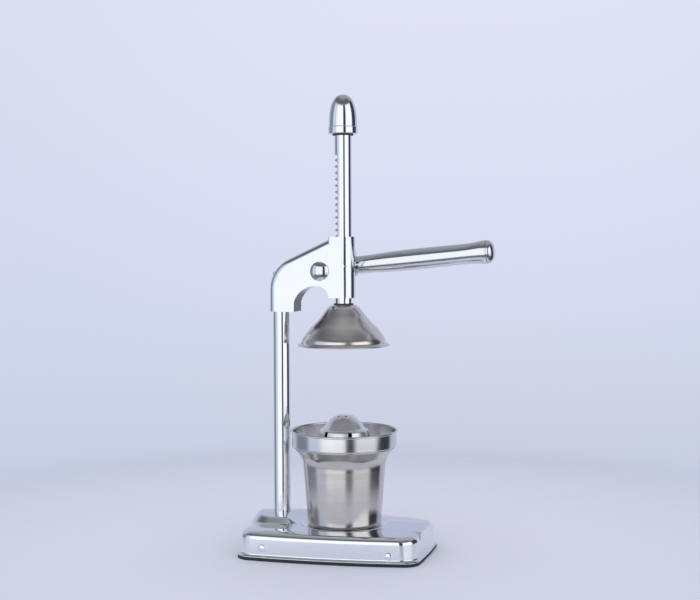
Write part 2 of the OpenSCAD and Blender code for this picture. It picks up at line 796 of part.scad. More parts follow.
// Stepped shaft: a core threaded at both ends, front journal, pinion seat, rear journal, hub seat
module pinion_shaft() {
    journal_end = -head_half - 0.4;
    thread_end = -head_half - 3;
    steps = [[thread_end, nut_seat + hub_nut_height + 1, thread_diameter],
             [journal_end, pinion_front, front_journal_diameter],
             [pinion_front, pinion_back, shaft_diameter],
             [pinion_back, hub_front - washer_play, rear_journal_diameter],
             [hub_front - washer_play, nut_seat, shaft_diameter]];
    color("#b4b8bf") difference() {
        for (step = steps) along_y(-pinion_place, step[0], pinion_height)
            cylinder(h = step[1] - step[0], d = step[2]);
        key_bar(pinion_front + 1 - fixed_clearance, pinion_back - 1 + fixed_clearance, fixed_clearance);
        key_bar(hub_front + 1 - fixed_clearance, hub_back - 1 + fixed_clearance, fixed_clearance);
    }
}

// Domed cap nut on the front end of the shaft
module shaft_cap() {
    rim = 1.4;
    thread_depth = 2.8;
    shoulder_depth = 0.2;
    rise = shaft_cap_height - rim;
    radius = shaft_cap_diameter / 2;
    ball = (radius * radius + rise * rise) / (2 * rise);
    color("#e4e7ee") translate([-pinion_place, -head_half - 0.3, pinion_height]) rotate([90, 0, 0])
        difference() {
            union() {
                cylinder(h = rim, r = radius);
                intersection() {
                    translate([0, 0, rim + rise - ball]) sphere(ball);
                    cylinder(h = shaft_cap_height + cut_over, r = radius);
                }
            }
            translate([0, 0, -cut_over])
                cylinder(h = thread_depth + cut_over, d = thread_diameter + 2 * fixed_clearance);
            translate([0, 0, -cut_over])
                cylinder(h = shoulder_depth + cut_over, r = front_journal_diameter / 2 + shoulder_depth);
        }
}

// ---------- lever ----------

// Thrust washer between the head and the hub
module hub_thrust_washer() {
    color("#c6a15a") along_y(-pinion_place, head_half + washer_play, pinion_height) difference() {
        cylinder(h = thrust_washer, d = rear_journal_diameter + 8);
        translate([0, 0, -cut_over])
            cylinder(h = thrust_washer + 2 * cut_over, d = rear_journal_diameter + 2 * running_clearance);
    }
}

shoulder_rise = 0.8 * hub_reach;
shoulder_corner = 3;
// The arm stands a little proud of the handle's root, and starts behind the nut with a round end
arm_half = handle_root_diameter / 2 + 0.8;
lever_offset = hub_front + arm_setback + arm_half;
arm_start = hub_radius - 7;
arm_rounding = 5;
hub_drop = handle_root_diameter / 2;
stub_length = 30;
nut_room = 3.5;

// Cast hub: a boss on the shaft, a stop shoulder above and an arm with a stub for the handle
module lever_hub() {
    corner = [hub_reach - shoulder_corner, shoulder_rise - shoulder_corner];
    color("#e4e7ee") difference() {
        lever_frame() {
            translate([0, hub_back, 0]) rotate([90, 0, 0]) linear_extrude(hub_thickness)
                polygon(concat(arc([0, 0], hub_radius, 100, 300, 30), [[hub_reach, -hub_drop]],
                               arc(corner, shoulder_corner, 0, 100, 6)));
            translate([arm_start, lever_offset, 0]) rotate([0, 90, 0])
                rotate_extrude() polygon(concat(
                    [[0, 0]], arc([arm_half - arm_rounding, arm_rounding], arm_rounding, -90, 0, 6),
                    [[arm_half, hub_reach - arm_start], [0, hub_reach - arm_start]]));
            translate([hub_reach - cut_over, lever_offset, 0]) rotate([0, 90, 0])
                cylinder(h = stub_length, d = stub_diameter);
        }
        along_y(-pinion_place, hub_front - cut_over, pinion_height)
            cylinder(h = hub_thickness + 2 * cut_over, d = shaft_diameter + 2 * fixed_clearance);
        along_y(-pinion_place, nut_seat, pinion_height)
            cylinder(h = lever_offset, r = shaft_diameter / 2 + nut_room);
        key_bar(hub_front - cut_over, hub_back + cut_over, fixed_clearance);
    }
}

module hub_nut() {
    color("#b9bdc4") along_y(-pinion_place, nut_seat + 0.05, pinion_height) difference() {
        hexagon(hub_nut_width, hub_nut_height);
        translate([0, 0, -cut_over])
            cylinder(h = hub_nut_height + 2 * cut_over, d = thread_diameter + 2 * fixed_clearance);
    }
}

// Share of the end's radius that the long barrel has
barrel_share = 0.93;

// Radius of the handle from its root to its seam: a quick swell, a long barrel and a flared end
function handle_radius(t) =
    let (root = handle_root_diameter / 2, end = handle_end_diameter / 2, barrel = barrel_share * end)
    t < 0.5 ? root + (barrel - root) * sin(180 * t)
            : barrel + (end - barrel) * ease(2 * t - 1);

handle_length = handle_reach - hub_reach;

// Tapered tube over the hub's stub, solid at its root as far as the wall thickens
module lever_handle() {
    steps = 24;
    hollow_from = 8;
    bore = stub_diameter / 2 + fixed_clearance;
    outer = [for (i = [0:steps]) [handle_radius(i / steps), handle_length * i / steps]];
    inner = [for (i = [steps:-1:hollow_from])
                 [handle_radius(i / steps) - handle_wall, handle_length * i / steps]];
    color("#e4e7ee") lever_frame() translate([hub_reach, lever_offset, 0]) rotate([0, 90, 0])
        rotate_extrude() polygon(concat(
            [[bore, 0]], outer, inner, [[bore, handle_length * hollow_from / steps]]));
}

// Domed plug in the open end of the handle
module lever_end_cap() {
    steps = 10;
    seam = 0.05;
    band = 1.2;
    plug = 8;
    radius = handle_end_diameter / 2;
    spigot = radius - handle_wall - fixed_clearance;
    dome = [for (i = [0:steps]) let (a = 90 * i / steps)
                [radius * pow(cos(a), 0.55), seam + band + (end_cap_length - band) * sin(a)]];
    color("#e4e7ee") lever_frame() translate([handle_reach, lever_offset, 0]) rotate([0, 90, 0])
        rotate_extrude() polygon(concat([[0, -plug], [spigot - 0.1 * plug, -plug], [spigot - 0.25, seam],
                                         [radius, seam]], dome));
}

// ---------- rod ----------

dome_top = dome_lip_height + dome_height;
rod_bottom = dome_top + dome_washer_thickness;
rod_top = cap_bottom + 0.65 * cap_height;
dome_stud_length = 9;
spaces = floor(rack_rise / rack_pitch);
spaces_below = floor(rack_drop / rack_pitch);

// Straight-sided tooth space of the rack, centred on z = 0
module rack_space() {
    half = rack_pitch / 4 + backlash / 4;
    lean = tan(pressure_angle);
    pitch_line = rack_flat - tooth_addendum;
    open = rod_radius + cut_over;
    rotate([90, 0, 0]) linear_extrude(2 * open, center = true)
        polygon([[-open, -half - (open - pitch_line) * lean],
                 [tooth_dedendum - pitch_line, -half + tooth_dedendum * lean],
                 [tooth_dedendum - pitch_line, half - tooth_dedendum * lean],
                 [-open, half + (open - pitch_line) * lean]]);
}

// Plated rod with the rack cut into its column side and a stud for the dome below
module rack_rod() {
    color("#e4e7ee") difference() {
        union() {
            translate([0, 0, rod_bottom]) cylinder(h = rod_top - rod_bottom, r = rod_radius);
            translate([0, 0, dome_top - dome_stud_length])
                cylinder(h = dome_stud_length + dome_washer_thickness + cut_over, d = dome_stud_diameter);
        }
        translate([-rod_diameter - rack_flat, -rod_diameter, pinion_height - spaces_below * rack_pitch])
            cube([rod_diameter, 2 * rod_diameter, (spaces + spaces_below) * rack_pitch]);
        for (k = [-spaces_below:spaces])
            translate([0, 0, pinion_height + k * rack_pitch]) rack_space();
    }
}

// Bullet-shaped cap with a collar, on the top of the rod
module rod_cap() {
    edge = 0.7;
    ledge = 0.5;
    straight = 2.4;
    steps = 14;
    collar = cap_collar_diameter / 2;
    neck = collar - ledge;
    above = cap_height - cap_collar_height - straight;
    bullet = [for (i = [0:steps]) let (a = 90 * i / steps)
                  [neck * pow(cos(a), 0.72), cap_collar_height + straight + above * sin(a)]];
    color("#e4e7ee") translate([0, 0, cap_bottom]) difference() {
        rotate_extrude() polygon(concat(
            [[0, 0], [collar - edge, 0]], arc([collar - edge, edge], edge, -90, 0, 3),
            arc([collar - edge, cap_collar_height - edge], edge, 0, 90, 3),
            [[neck, cap_collar_height]], bullet));
        translate([0, 0, -cut_over])
            cylinder(h = rod_top - cap_bottom + cut_over + 0.1, r = rod_radius + fixed_clearance);
    }
}

module cap_bumper() {
    color("#2a2b2e") translate([0, 0, cap_bottom - bumper_thickness]) difference() {
        cylinder(h = bumper_thickness, d = bumper_diameter);
        translate([0, 0, -cut_over])
            cylinder(h = bumper_thickness + 2 * cut_over, r = rod_radius + fixed_clearance);
    }
}

// Shape of the bell as radius and height shares, from the lip to the edge of the flat top
bell_shape = [[1, 0], [0.925, 0.052], [0.901, 0.149], [0.829, 0.261], [0.725, 0.414],
              [0.596, 0.557], [0.486, 0.701], [0.4, 0.836], [0.32, 0.943], [0.216, 1]];

// Points of the bell, drawn inwards by a wall, which thins the crown a little more
function bell_points(wall) =
    [for (p = bell_shape)
        [dome_lip_radius * p[0] - wall, dome_lip_height + (dome_height - crown_share * wall) * p[1]]];

crown_share = 1.1;
dome_nut_height = 5.5;
dome_nut_width = dome_stud_diameter + 4;

// Bell that comes down over half a fruit
module press_dome() {
    outer = bell_points(0);
    inner = bell_points(dome_wall);
    hole = dome_stud_diameter / 2 + fixed_clearance;
    color("#8f8b88") rotate_extrude() polygon(concat(
        outer, [[hole, dome_top], [hole, dome_top - crown_share * dome_wall]],
        [for (i = [len(inner) - 1:-1:0]) inner[i]]));
}

module dome_washer() {
    margin = 1.2;
    color("#2a2b2e") translate([0, 0, dome_top]) difference() {
        cylinder(h = dome_washer_thickness, r = rod_radius + margin);
        translate([0, 0, -cut_over])
            cylinder(h = dome_washer_thickness + 2 * cut_over, d = dome_stud_diameter + 2 * fixed_clearance);
    }
}

module dome_nut() {
    color("#b9bdc4") translate([0, 0, dome_top - crown_share * dome_wall - dome_nut_height])
        difference() {
            hexagon(dome_nut_width, dome_nut_height);
            translate([0, 0, -cut_over])
                cylinder(h = dome_nut_height + 2 * cut_over, d = dome_stud_diameter + 2 * fixed_clearance);
        }
}

// ---------- cup and strainer ----------

cup_shoulder = seat_height + cup_body_height;
cup_mouth = cup_shoulder + cup_flare_height;

foot_rounding = 3;
// Share of the flare's height and of its width at which it turns from upright to wide
throat_height = 0.36;
throat_width = 0.3;
// The flare is measured along the radius, so its wall is stretched there
flare_stretch = 1.3;

// Radius and height along the outside of the cup
cup_outside = concat(
    [[cup_foot_radius - foot_rounding, seat_height]],
    arc([cup_foot_radius - foot_rounding + 0.4, seat_height + foot_rounding], foot_rounding, -60, 0, 3),
    [[cup_shoulder_radius, cup_shoulder],
     [cup_shoulder_radius + throat_width * (cup_mouth_radius - cup_shoulder_radius),
      cup_shoulder + throat_height * cup_flare_height],
     [cup_mouth_radius, cup_mouth]]);

// Flared drinking-glass shaped cup with an open mouth
module cup() {
    last = len(cup_outside) - 1;
    inner = [for (i = [last:-1:0])
                 [cup_outside[i][0] - cup_wall * (i > last - 2 ? flare_stretch : 1),
                  cup_outside[i][1] + (i < 3 ? cup_wall : 0)]];
    color("#b3ada6") rotate_extrude() polygon(concat(
        [[0, seat_height]], cup_outside, inner, [[0, seat_height + cup_wall]]));
}

// The strainer's dish stands on the cup's mouth; a ledge below its floor centres it inside
dish_floor = cup_mouth + 0.05;
ledge_depth = 2.4;
ledge_width = 8;
ledge_play = 1.2;
ledge_radius = cup_mouth_radius - flare_stretch * cup_wall - ledge_play;
// The ledge's foot is drawn in as fast as the cup's mouth
flare_slope = (1 - throat_width) * (cup_mouth_radius - cup_shoulder_radius)
              / ((1 - throat_height) * cup_flare_height);
ledge_foot = ledge_radius - ledge_depth * flare_slope;
rim_rise = 2.6;
rim_height = dish_floor + band_height + rim_rise;
roll_radius = 0.9;
band_corner = 0.8;
reamer_top = dish_floor + reamer_height;
slot_width = 4.4;
slot_height = 2.2;
slot_place = 0.42;
hole_radius = 1.1;
hole_ring = 0.27;

// Shares of the reamer's foot radius and of its height, from its side up to its crown
reamer_shape = [[0.87, 0.5], [0.84, 0.6], [0.77, 0.611], [0.66, 0.8], [0.52, 0.91], [0.4, 0.965], [0.24, 1]];

// Radius and height along the outside of the reamer, with a fillet at its foot
reamer_outside = concat(
    [[reamer_foot_radius + 1.5, dish_floor + strainer_wall],
     [reamer_foot_radius - 0.4, dish_floor + 0.12 * reamer_height]],
    [for (p = reamer_shape) [p[0] * reamer_foot_radius, dish_floor + p[1] * reamer_height]]);

// Dish that stands in the cup's mouth, its floor pressed up into a perforated reamer
module strainer() {
    w = strainer_wall;
    under = [for (p = reamer_outside) [p[0] - w, p[1] - w]];
    last = len(reamer_outside) - 1;
    ledge_bottom = dish_floor - ledge_depth;
    band_top = dish_floor + band_height;
    color("#c4c2c0") difference() {
        rotate_extrude() polygon(concat(
            [[0, reamer_top - w], under[last]],
            [for (i = [last - 1:-1:0]) under[i]],
            [[ledge_radius - ledge_width, ledge_bottom], [ledge_foot, ledge_bottom],
             [ledge_radius, dish_floor], [band_radius - band_corner, dish_floor],
             [band_radius, dish_floor + band_corner], [band_radius, band_top]],
            arc([rim_radius - roll_radius, rim_height - roll_radius], roll_radius, -60, 90, 5),
            [[rim_radius - 2.2, rim_height - 0.5], [band_radius - w, band_top],
             [band_radius - w, dish_floor + w + 0.4], [band_radius - w - 0.6, dish_floor + w],
             [ledge_radius - 1 - w, dish_floor + w - 0.4], [ledge_foot - 1, ledge_bottom + w],
             [ledge_radius - ledge_width - 0.4, ledge_bottom + w]],
            reamer_outside, [[0, reamer_top]]));
        for (k = [0:foot_slots - 1]) rotate(360 / foot_slots * (k + 0.5))
            translate([0.6 * reamer_foot_radius, 0, dish_floor + slot_place * reamer_height - slot_height])
                cube([0.5 * reamer_foot_radius, slot_width, slot_height]);
        for (k = [0:top_holes - 1]) rotate(360 / top_holes * k)
            translate([hole_ring * reamer_foot_radius, 0, dish_floor + 0.7 * reamer_height])
                cylinder(h = reamer_height, r = hole_radius);
    }
}

rubber_pad();
base_shell();
base_stiffener();
base_rivets();
column_rod();
column_spacer();
column_washer();
column_nut();
head_casting();
column_set_screw();
bearing_plate();
bearing_plate_screws();
pinion();
pinion_shaft();
shaft_cap();
pinion_key();
hub_key();
hub_thrust_washer();
lever_hub();
hub_nut();
lever_handle();
lever_end_cap();
rack_rod();
rod_cap();
cap_bumper();
press_dome();
dome_washer();
dome_nut();
cup();
strainer();
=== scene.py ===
"""Looks of a lever citrus juice press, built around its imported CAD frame.

Each sub-assembly is a class that holds its sizes, in millimetres, and makes the surfaces that
stand for its CAD solids. Surfaces are worked out as whole numpy arrays in the frame's own axes:
+Z up, the rod and the cup on the Z axis, the column on the -X side, the lever towards +X.
Finishes are procedural, and the studio around the press is a world of soft panels.
"""

from __future__ import annotations

import json
import logging
import math
from dataclasses import dataclass, field
from enum import Enum
from typing import Iterable, Sequence

import bpy
import numpy as np
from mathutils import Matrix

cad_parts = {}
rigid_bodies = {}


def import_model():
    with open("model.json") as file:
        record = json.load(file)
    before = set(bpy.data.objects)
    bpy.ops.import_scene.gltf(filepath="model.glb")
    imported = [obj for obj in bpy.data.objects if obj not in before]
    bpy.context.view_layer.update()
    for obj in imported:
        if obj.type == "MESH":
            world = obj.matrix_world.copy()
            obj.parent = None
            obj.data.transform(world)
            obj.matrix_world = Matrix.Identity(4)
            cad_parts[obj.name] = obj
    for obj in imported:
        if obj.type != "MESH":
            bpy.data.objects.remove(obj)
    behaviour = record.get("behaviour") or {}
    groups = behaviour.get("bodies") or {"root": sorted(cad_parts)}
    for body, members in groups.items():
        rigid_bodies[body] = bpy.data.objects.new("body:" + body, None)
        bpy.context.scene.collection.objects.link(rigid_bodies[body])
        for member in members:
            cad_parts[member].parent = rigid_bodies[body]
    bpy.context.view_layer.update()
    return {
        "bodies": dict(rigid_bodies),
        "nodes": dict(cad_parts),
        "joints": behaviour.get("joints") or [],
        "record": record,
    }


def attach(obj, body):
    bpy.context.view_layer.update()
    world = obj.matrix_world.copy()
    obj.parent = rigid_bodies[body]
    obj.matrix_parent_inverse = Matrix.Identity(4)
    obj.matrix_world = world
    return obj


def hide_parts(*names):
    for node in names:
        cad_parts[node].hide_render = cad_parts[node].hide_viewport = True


MM = 0.001
MERGE_DISTANCE = 1e-7
LOG = logging.getLogger("juice_press")

Array = np.ndarray
Colour = tuple[float, float, float]
Vector = tuple[float, float, float]
Line = tuple[tuple[float, float], ...]
X_AXIS = (1.0, 0.0, 0.0)


def linear(red: int, green: int, blue: int) -> Colour:
    """Turns a display colour of 0 to 255 into scene-linear light.

    Args:
        red: Display red.
        green: Display green.
        blue: Display blue.

    Returns:
        The three linear values, each by the display curve ((c + 0.055) / 1.055) ** 2.4.
    """
    shares = (red / 255, green / 255, blue / 255)
    return tuple(c / 12.92 if c <= 0.04045 else ((c + 0.055) / 1.055) ** 2.4 for c in shares)


# ---------------------------------------------------------------- shader sheets


class Wire:
    """An output socket of a node. Arithmetic on it adds Math nodes to its sheet."""

    def __init__(self, sheet: NodeSheet, socket: bpy.types.NodeSocket) -> None:
        """Keeps the sheet that the socket is on, and the socket."""
        self.sheet = sheet
        self.socket = socket

    def _math(self, operation: str, first: Wire | float, second: Wire | float) -> Wire:
        """Adds one Math node.

        Args:
            operation: The node's operation.
            first: Its first value.
            second: Its second value.

        Returns:
            The node's result.
        """
        return self.sheet.node("ShaderNodeMath", {"operation": operation}, {0: first, 1: second})

    def __add__(self, other: Wire | float) -> Wire:
        """Sum."""
        return self._math("ADD", self, other)

    def __radd__(self, other: float) -> Wire:
        """Sum with a number on the left."""
        return self._math("ADD", other, self)

    def __sub__(self, other: Wire | float) -> Wire:
        """Difference."""
        return self._math("SUBTRACT", self, other)

    def __rsub__(self, other: float) -> Wire:
        """Difference from a number on the left."""
        return self._math("SUBTRACT", other, self)

    def __mul__(self, other: Wire | float) -> Wire:
        """Product."""
        return self._math("MULTIPLY", self, other)

    def __rmul__(self, other: float) -> Wire:
        """Product with a number on the left."""
        return self._math("MULTIPLY", other, self)


class NodeSheet:
    """The node tree of one material or of the world, emptied and ready to be filled."""

    def __init__(self, tree: bpy.types.NodeTree) -> None:
        """Empties the tree."""
        self.tree = tree
        tree.nodes.clear()

    def node(
        self,
        kind: str,
        settings: dict[str, object] | None = None,
        inputs: dict[str | int, object] | None = None,
        output: str | int = 0,
    ) -> Wire:
        """Adds a node, sets it up and feeds it.

        Args:
            kind: The node's type name.
            settings: Its properties; the key "stops" holds a colour ramp's (place, colour) pairs.
            inputs: Values or wires of its input sockets, by name or number.
            output: The output socket that is handed back.

        Returns:
            A wire from that output.
        """
        made = self.tree.nodes.new(kind)
        for key, value in (settings or {}).items():
            if key == "stops":
                ramp = made.color_ramp
                while len(ramp.elements) < len(value):
                    ramp.elements.new(1.0)
                for element, (place, colour) in zip(ramp.elements, value):
                    element.position = place
                    element.color = (*colour, 1.0)
            else:
                setattr(made, key, value)
        for key, value in (inputs or {}).items():
            socket = made.inputs[key]
            if isinstance(value, Wire):
                self.tree.links.new(value.socket, socket)
            elif socket.type == "RGBA" and len(value) == 3:
                socket.default_value = (*value, 1.0)
            else:
                socket.default_value = value
        return Wire(self, made.outputs[output]) if made.outputs else None

    def smooth(self, value: Wire, low: float, high: float) -> Wire:
        """Smooth step of a value, 0 at low and 1 at high; low may be the greater one.

        Args:
            value: What is measured.
            low: Where the step starts.
            high: Where it ends.

        Returns:
            The step, by 3t^2 - 2t^3.
        """
        if low > high:
            return 1.0 - self.smooth(value, high, low)
        return self.node(
            "ShaderNodeMapRange",
            {"interpolation_type": "SMOOTHSTEP"},
            {"Value": value, "From Min": low, "From Max": high, "To Min": 0.0, "To Max": 1.0},
        )

    def mix(self, factor: Wire | float, first: Wire | Colour, second: Wire | Colour) -> Wire:
        """Mixes two colours.

        Args:
            factor: 0 gives the first colour and 1 the second.
            first: A colour or a wire.
            second: A colour or a wire.

        Returns:
            The mixed colour.
        """
        return self.node(
            "ShaderNodeMix", {"data_type": "RGBA"}, {0: factor, 6: first, 7: second}, output=2
        )

    def measure(self, operation: str, first: Wire, second: Wire | Vector = (0.0, 0.0, 0.0)) -> Wire:
        """Works out one number from vectors.

        Args:
            operation: DOT_PRODUCT, DISTANCE or LENGTH, which has no second vector.
            first: A vector.
            second: A vector.

        Returns:
            The number.
        """
        inputs = {0: first, 1: second}
        return self.node("ShaderNodeVectorMath", {"operation": operation}, inputs, output="Value")

    def place(self, scale: Vector = (1.0, 1.0, 1.0), turn: float = 0.0) -> Wire:
        """Object coordinates, turned about Y and then scaled along each axis.

        Args:
            scale: Cycles of the pattern for each metre, along each axis.
            turn: Turn about the Y axis, in degrees.

        Returns:
            The scaled place.
        """
        where = self.node("ShaderNodeTexCoord", output="Object")
        turned = self.node(
            "ShaderNodeMapping",
            {"vector_type": "TEXTURE"},
            {"Vector": where, "Rotation": (0.0, math.radians(turn), 0.0)},
        )
        return self.node("ShaderNodeVectorMath", {"operation": "MULTIPLY"}, {0: turned, 1: scale})

    def grain(self, scale: Vector, detail: float = 2.0, rough: float = 0.5, turn: float = 0.0) -> Wire:
        """Noise from 0 to 1, its grains as long along each axis as the scale says.

        Args:
            scale: Grains for each metre, along each axis.
            detail: How many finer layers the noise has.
            rough: How strong the finer layers are.
            turn: Turn of the grain about the Y axis, in degrees.

        Returns:
            The noise.
        """
        inputs = {"Vector": self.place(scale, turn), "Scale": 1.0, "Detail": detail, "Roughness": rough}
        return self.node("ShaderNodeTexNoise", None, inputs)

    def bump(self, strength: float, distance: float, height: Wire) -> Wire:
        """The surface's normal, tilted by a height.

        Args:
            strength: Share of the tilt.
            distance: Height, in metres, that a value of 1 stands for.
            height: The height's pattern.

        Returns:
            The normal.
        """
        inputs = {"Strength": strength, "Distance": distance, "Height": height}
        return self.node("ShaderNodeBump", None, inputs)

    def surface(self, **inputs: object) -> Wire:
        """A Principled shader; an underscore stands for a blank in a socket's name."""
        named = {key.replace("_", " "): value for key, value in inputs.items()}
        return self.node("ShaderNodeBsdfPrincipled", None, named)


# ---------------------------------------------------------------- finishes


def even(grains: float) -> Vector:
    """A grain's scale that is the same along all axes."""
    return (grains, grains, grains)


def dimmed(colour: Colour, share: float) -> Colour:
    """A colour times a share."""
    return tuple(share * c for c in colour)


@dataclass(frozen=True)
class Finish:
    """What every finish has: a name and a way to become a material."""

    name: str

    def paint(self, sheet: NodeSheet) -> Wire:
        """Lays out the finish on an empty sheet and hands back its shader."""
        raise NotImplementedError

    def material(self) -> bpy.types.Material:
        """The finish as a Blender material, made once for each name.

        Returns:
            The material.
        """
        known = bpy.data.materials.get(self.name)
        if known is not None:
            return known
        made = bpy.data.materials.new(self.name)
        made.use_nodes = True
        sheet = NodeSheet(made.node_tree)
        sheet.node("ShaderNodeOutputMaterial", None, {"Surface": self.paint(sheet)})
        return made


@dataclass(frozen=True)
class Chrome(Finish):
    """Bright plating: a mirror with a faint ripple, thin wipe marks and a little haze.

    Grains are counted for each metre. The wipe marks run square to their fine axis, Z unless
    they are turned about Y by some degrees.
    """

    tint: Colour = (0.86, 0.88, 0.91)
    dim: float = 0.93
    haze: float = 0.05
    haze_spread: float = 0.05
    haze_wiped: float = 0.03
    cloud_grains: float = 45.0
    wipe_scale: Vector = (240.0, 240.0, 3200.0)
    ripple: float = 0.06
    ripple_grains: float = 70.0
    ripple_height: float = 0.0004
    scratch: float = 0.02
    turn: float = 0.0

    def paint(self, sheet: NodeSheet) -> Wire:
        """Mirror metal whose roughness follows a haze of noise and fine wipe marks.

        Args:
            sheet: The material's empty sheet.

        Returns:
            The shader.
        """
        cloud = sheet.grain(even(self.cloud_grains), detail=4.0, rough=0.6)
        wipes = sheet.grain(self.wipe_scale, turn=self.turn)
        waves = sheet.grain(even(self.ripple_grains), detail=1.0)
        return sheet.surface(
            Base_Color=sheet.mix(cloud, self.tint, dimmed(self.tint, self.dim)),
            Metallic=1.0,
            Roughness=self.haze + self.haze_spread * cloud * cloud + self.haze_wiped * (wipes - 0.5),
            Normal=sheet.bump(self.ripple, self.ripple_height, waves + self.scratch * wipes),
        )


@dataclass(frozen=True)
class CastChrome(Chrome):
    """Plating on the casting, thin and brown on the upright inside of the arch.

    The brown lies where a face looks along +X between two places on the X axis, in metres.
    """

    raw: Colour = (0.10, 0.085, 0.075)
    raw_left: float = -0.052
    raw_right: float = -0.022
    left_fade: float = 0.001
    right_fade: float = 0.008
    raw_cover: float = 0.9
    raw_facing: tuple[float, float] = (0.35, 0.85)
    raw_grains: float = 420.0
    raw_bright: float = 1.9
    raw_metal: float = 0.7
    raw_satin: float = 0.32
    raw_spread: float = 0.2

    def paint(self, sheet: NodeSheet) -> Wire:
        """The plating, mixed with a dull brown inside the arch.

        Args:
            sheet: The material's empty sheet.

        Returns:
            The shader.
        """
        plated = Chrome.paint(self, sheet)
        facing = sheet.measure("DOT_PRODUCT", sheet.node("ShaderNodeTexCoord", output="Normal"), X_AXIS)
        along = sheet.measure("DOT_PRODUCT", sheet.place(), X_AXIS)
        past_left = sheet.smooth(along, self.raw_left, self.raw_left + self.left_fade)
        before_right = sheet.smooth(along, self.raw_right, self.raw_right - self.right_fade)
        cast = sheet.grain(even(self.raw_grains), detail=4.0, rough=0.65)
        raw = sheet.surface(
            Base_Color=sheet.mix(cast, self.raw, dimmed(self.raw, self.raw_bright)),
            Metallic=self.raw_metal,
            Roughness=self.raw_satin + self.raw_spread * cast,
        )
        cover = self.raw_cover * sheet.smooth(facing, *self.raw_facing) * past_left * before_right
        return sheet.node("ShaderNodeMixShader", None, {0: cover, 1: plated, 2: raw})


@dataclass(frozen=True)
class SpunSteel(Finish):
    """Satin stainless steel: fine rings from spinning, soft upright clouds and small scuffs.

    Where dull_inside is above zero, the sheet is duller within that radius, in metres, and its colour there
    is paler as painted light, to brighten the inside of the dish.
    """

    tint: Colour = (0.60, 0.57, 0.54)
    dim: float = 0.82
    satin: float = 0.26
    spread: float = 0.12
    ring_satin: float = 0.14
    scuff_satin: float = 0.08
    ring_scale: Vector = (30.0, 30.0, 5200.0)
    band_scale: Vector = (18.0, 18.0, 260.0)
    cloud_scale: Vector = (90.0, 90.0, 14.0)
    scuff_scale: Vector = (700.0, 700.0, 160.0)
    scuff_edge: tuple[float, float] = (0.60, 0.72)
    dimness: float = 1.6
    band_relief: float = 0.6
    relief: float = 0.12
    relief_height: float = 0.0002
    dull_inside: float = 0.0
    dull_edge: float = 0.0002
    dull_satin: float = 0.16
    # paler colour used inside dull_inside: painted light that brightens the inside of the dish
    painted_light_tint: Colour = (0.95, 0.94, 0.94)

    def paint(self, sheet: NodeSheet) -> Wire:
        """Metal whose roughness and height follow rings about the Z axis.

        Args:
            sheet: The material's empty sheet.

        Returns:
            The shader.
        """
        rings = sheet.grain(self.ring_scale, detail=3.0, rough=0.6)
        bands = sheet.grain(self.band_scale, detail=3.0, rough=0.6)
        clouds = sheet.grain(self.cloud_scale, detail=3.0)
        scuffs = sheet.smooth(sheet.grain(self.scuff_scale, detail=4.0, rough=0.7), *self.scuff_edge)
        satin = self.satin + self.spread * (clouds - 0.5)
        satin = satin + self.ring_satin * (rings - 0.5) + self.scuff_satin * scuffs
        colour = sheet.mix(bands * clouds * self.dimness, self.tint, dimmed(self.tint, self.dim))
        if self.dull_inside > 0:
            reach = sheet.measure("LENGTH", sheet.place((1.0, 1.0, 0.0)))
            inside = sheet.smooth(reach, self.dull_inside + self.dull_edge, self.dull_inside - self.dull_edge)
            satin = satin + self.dull_satin * inside
            # painted light: within the radius the tint turns paler, so the inside of the dish reads brighter
            colour = sheet.mix(inside, colour, self.painted_light_tint)
        bump = sheet.bump(self.relief, self.relief_height, rings + self.band_relief * bands)
        return sheet.surface(Base_Color=colour, Metallic=1.0, Roughness=satin, Normal=bump)


@dataclass(frozen=True)
class TurnedMetal(Finish):
    """Bare turned or stamped metal of the small inner parts, with machining marks."""

    tint: Colour = (0.55, 0.56, 0.58)
    dim: float = 0.7
    satin: float = 0.34
    mottle_satin: float = 0.18
    mark_satin: float = 0.1
    mark_scale: Vector = (900.0, 2600.0, 900.0)
    mottle_grains: float = 160.0
    relief: float = 0.15
    relief_height: float = 0.0001

    def paint(self, sheet: NodeSheet) -> Wire:
        """Metal with fine marks and a mottled roughness.

        Args:
            sheet: The material's empty sheet.

        Returns:
            The shader.
        """
        marks = sheet.grain(self.mark_scale, detail=3.0)
        mottle = sheet.grain(even(self.mottle_grains), detail=4.0, rough=0.6)
        return sheet.surface(
            Base_Color=sheet.mix(mottle, self.tint, dimmed(self.tint, self.dim)),
            Metallic=1.0,
            Roughness=self.satin + self.mottle_satin * (mottle - 0.5) + self.mark_satin * (marks - 0.5),
            Normal=sheet.bump(self.relief, self.relief_height, marks),
        )


@dataclass(frozen=True)
class Rubber(Finish):
    """Black rubber: matt, faintly grained, a little dustier in patches."""

    tint: Colour = (0.003, 0.003, 0.004)
    dust: Colour = (0.008, 0.008, 0.010)
    pebble_grains: float = 2400.0
    patch_scale: Vector = (60.0, 60.0, 120.0)
    patch_edge: tuple[float, float] = (0.45, 0.8)
    satin: float = 0.52
    spread: float = 0.2
    gleam: float = 0.06
    relief: float = 0.25
    relief_height: float = 0.0002

    def paint(self, sheet: NodeSheet) -> Wire:
        """Dull dark surface with a fine pebble.

        Args:
            sheet: The material's empty sheet.

        Returns:
            The shader.
        """
        pebble = sheet.grain(even(self.pebble_grains))
        patches = sheet.grain(self.patch_scale, detail=4.0, rough=0.6)
        return sheet.surface(
            Base_Color=sheet.mix(sheet.smooth(patches, *self.patch_edge), self.tint, self.dust),
            Roughness=self.satin + self.spread * patches,
            Specular_IOR_Level=self.gleam,
            Normal=sheet.bump(self.relief, self.relief_height, pebble),
        )


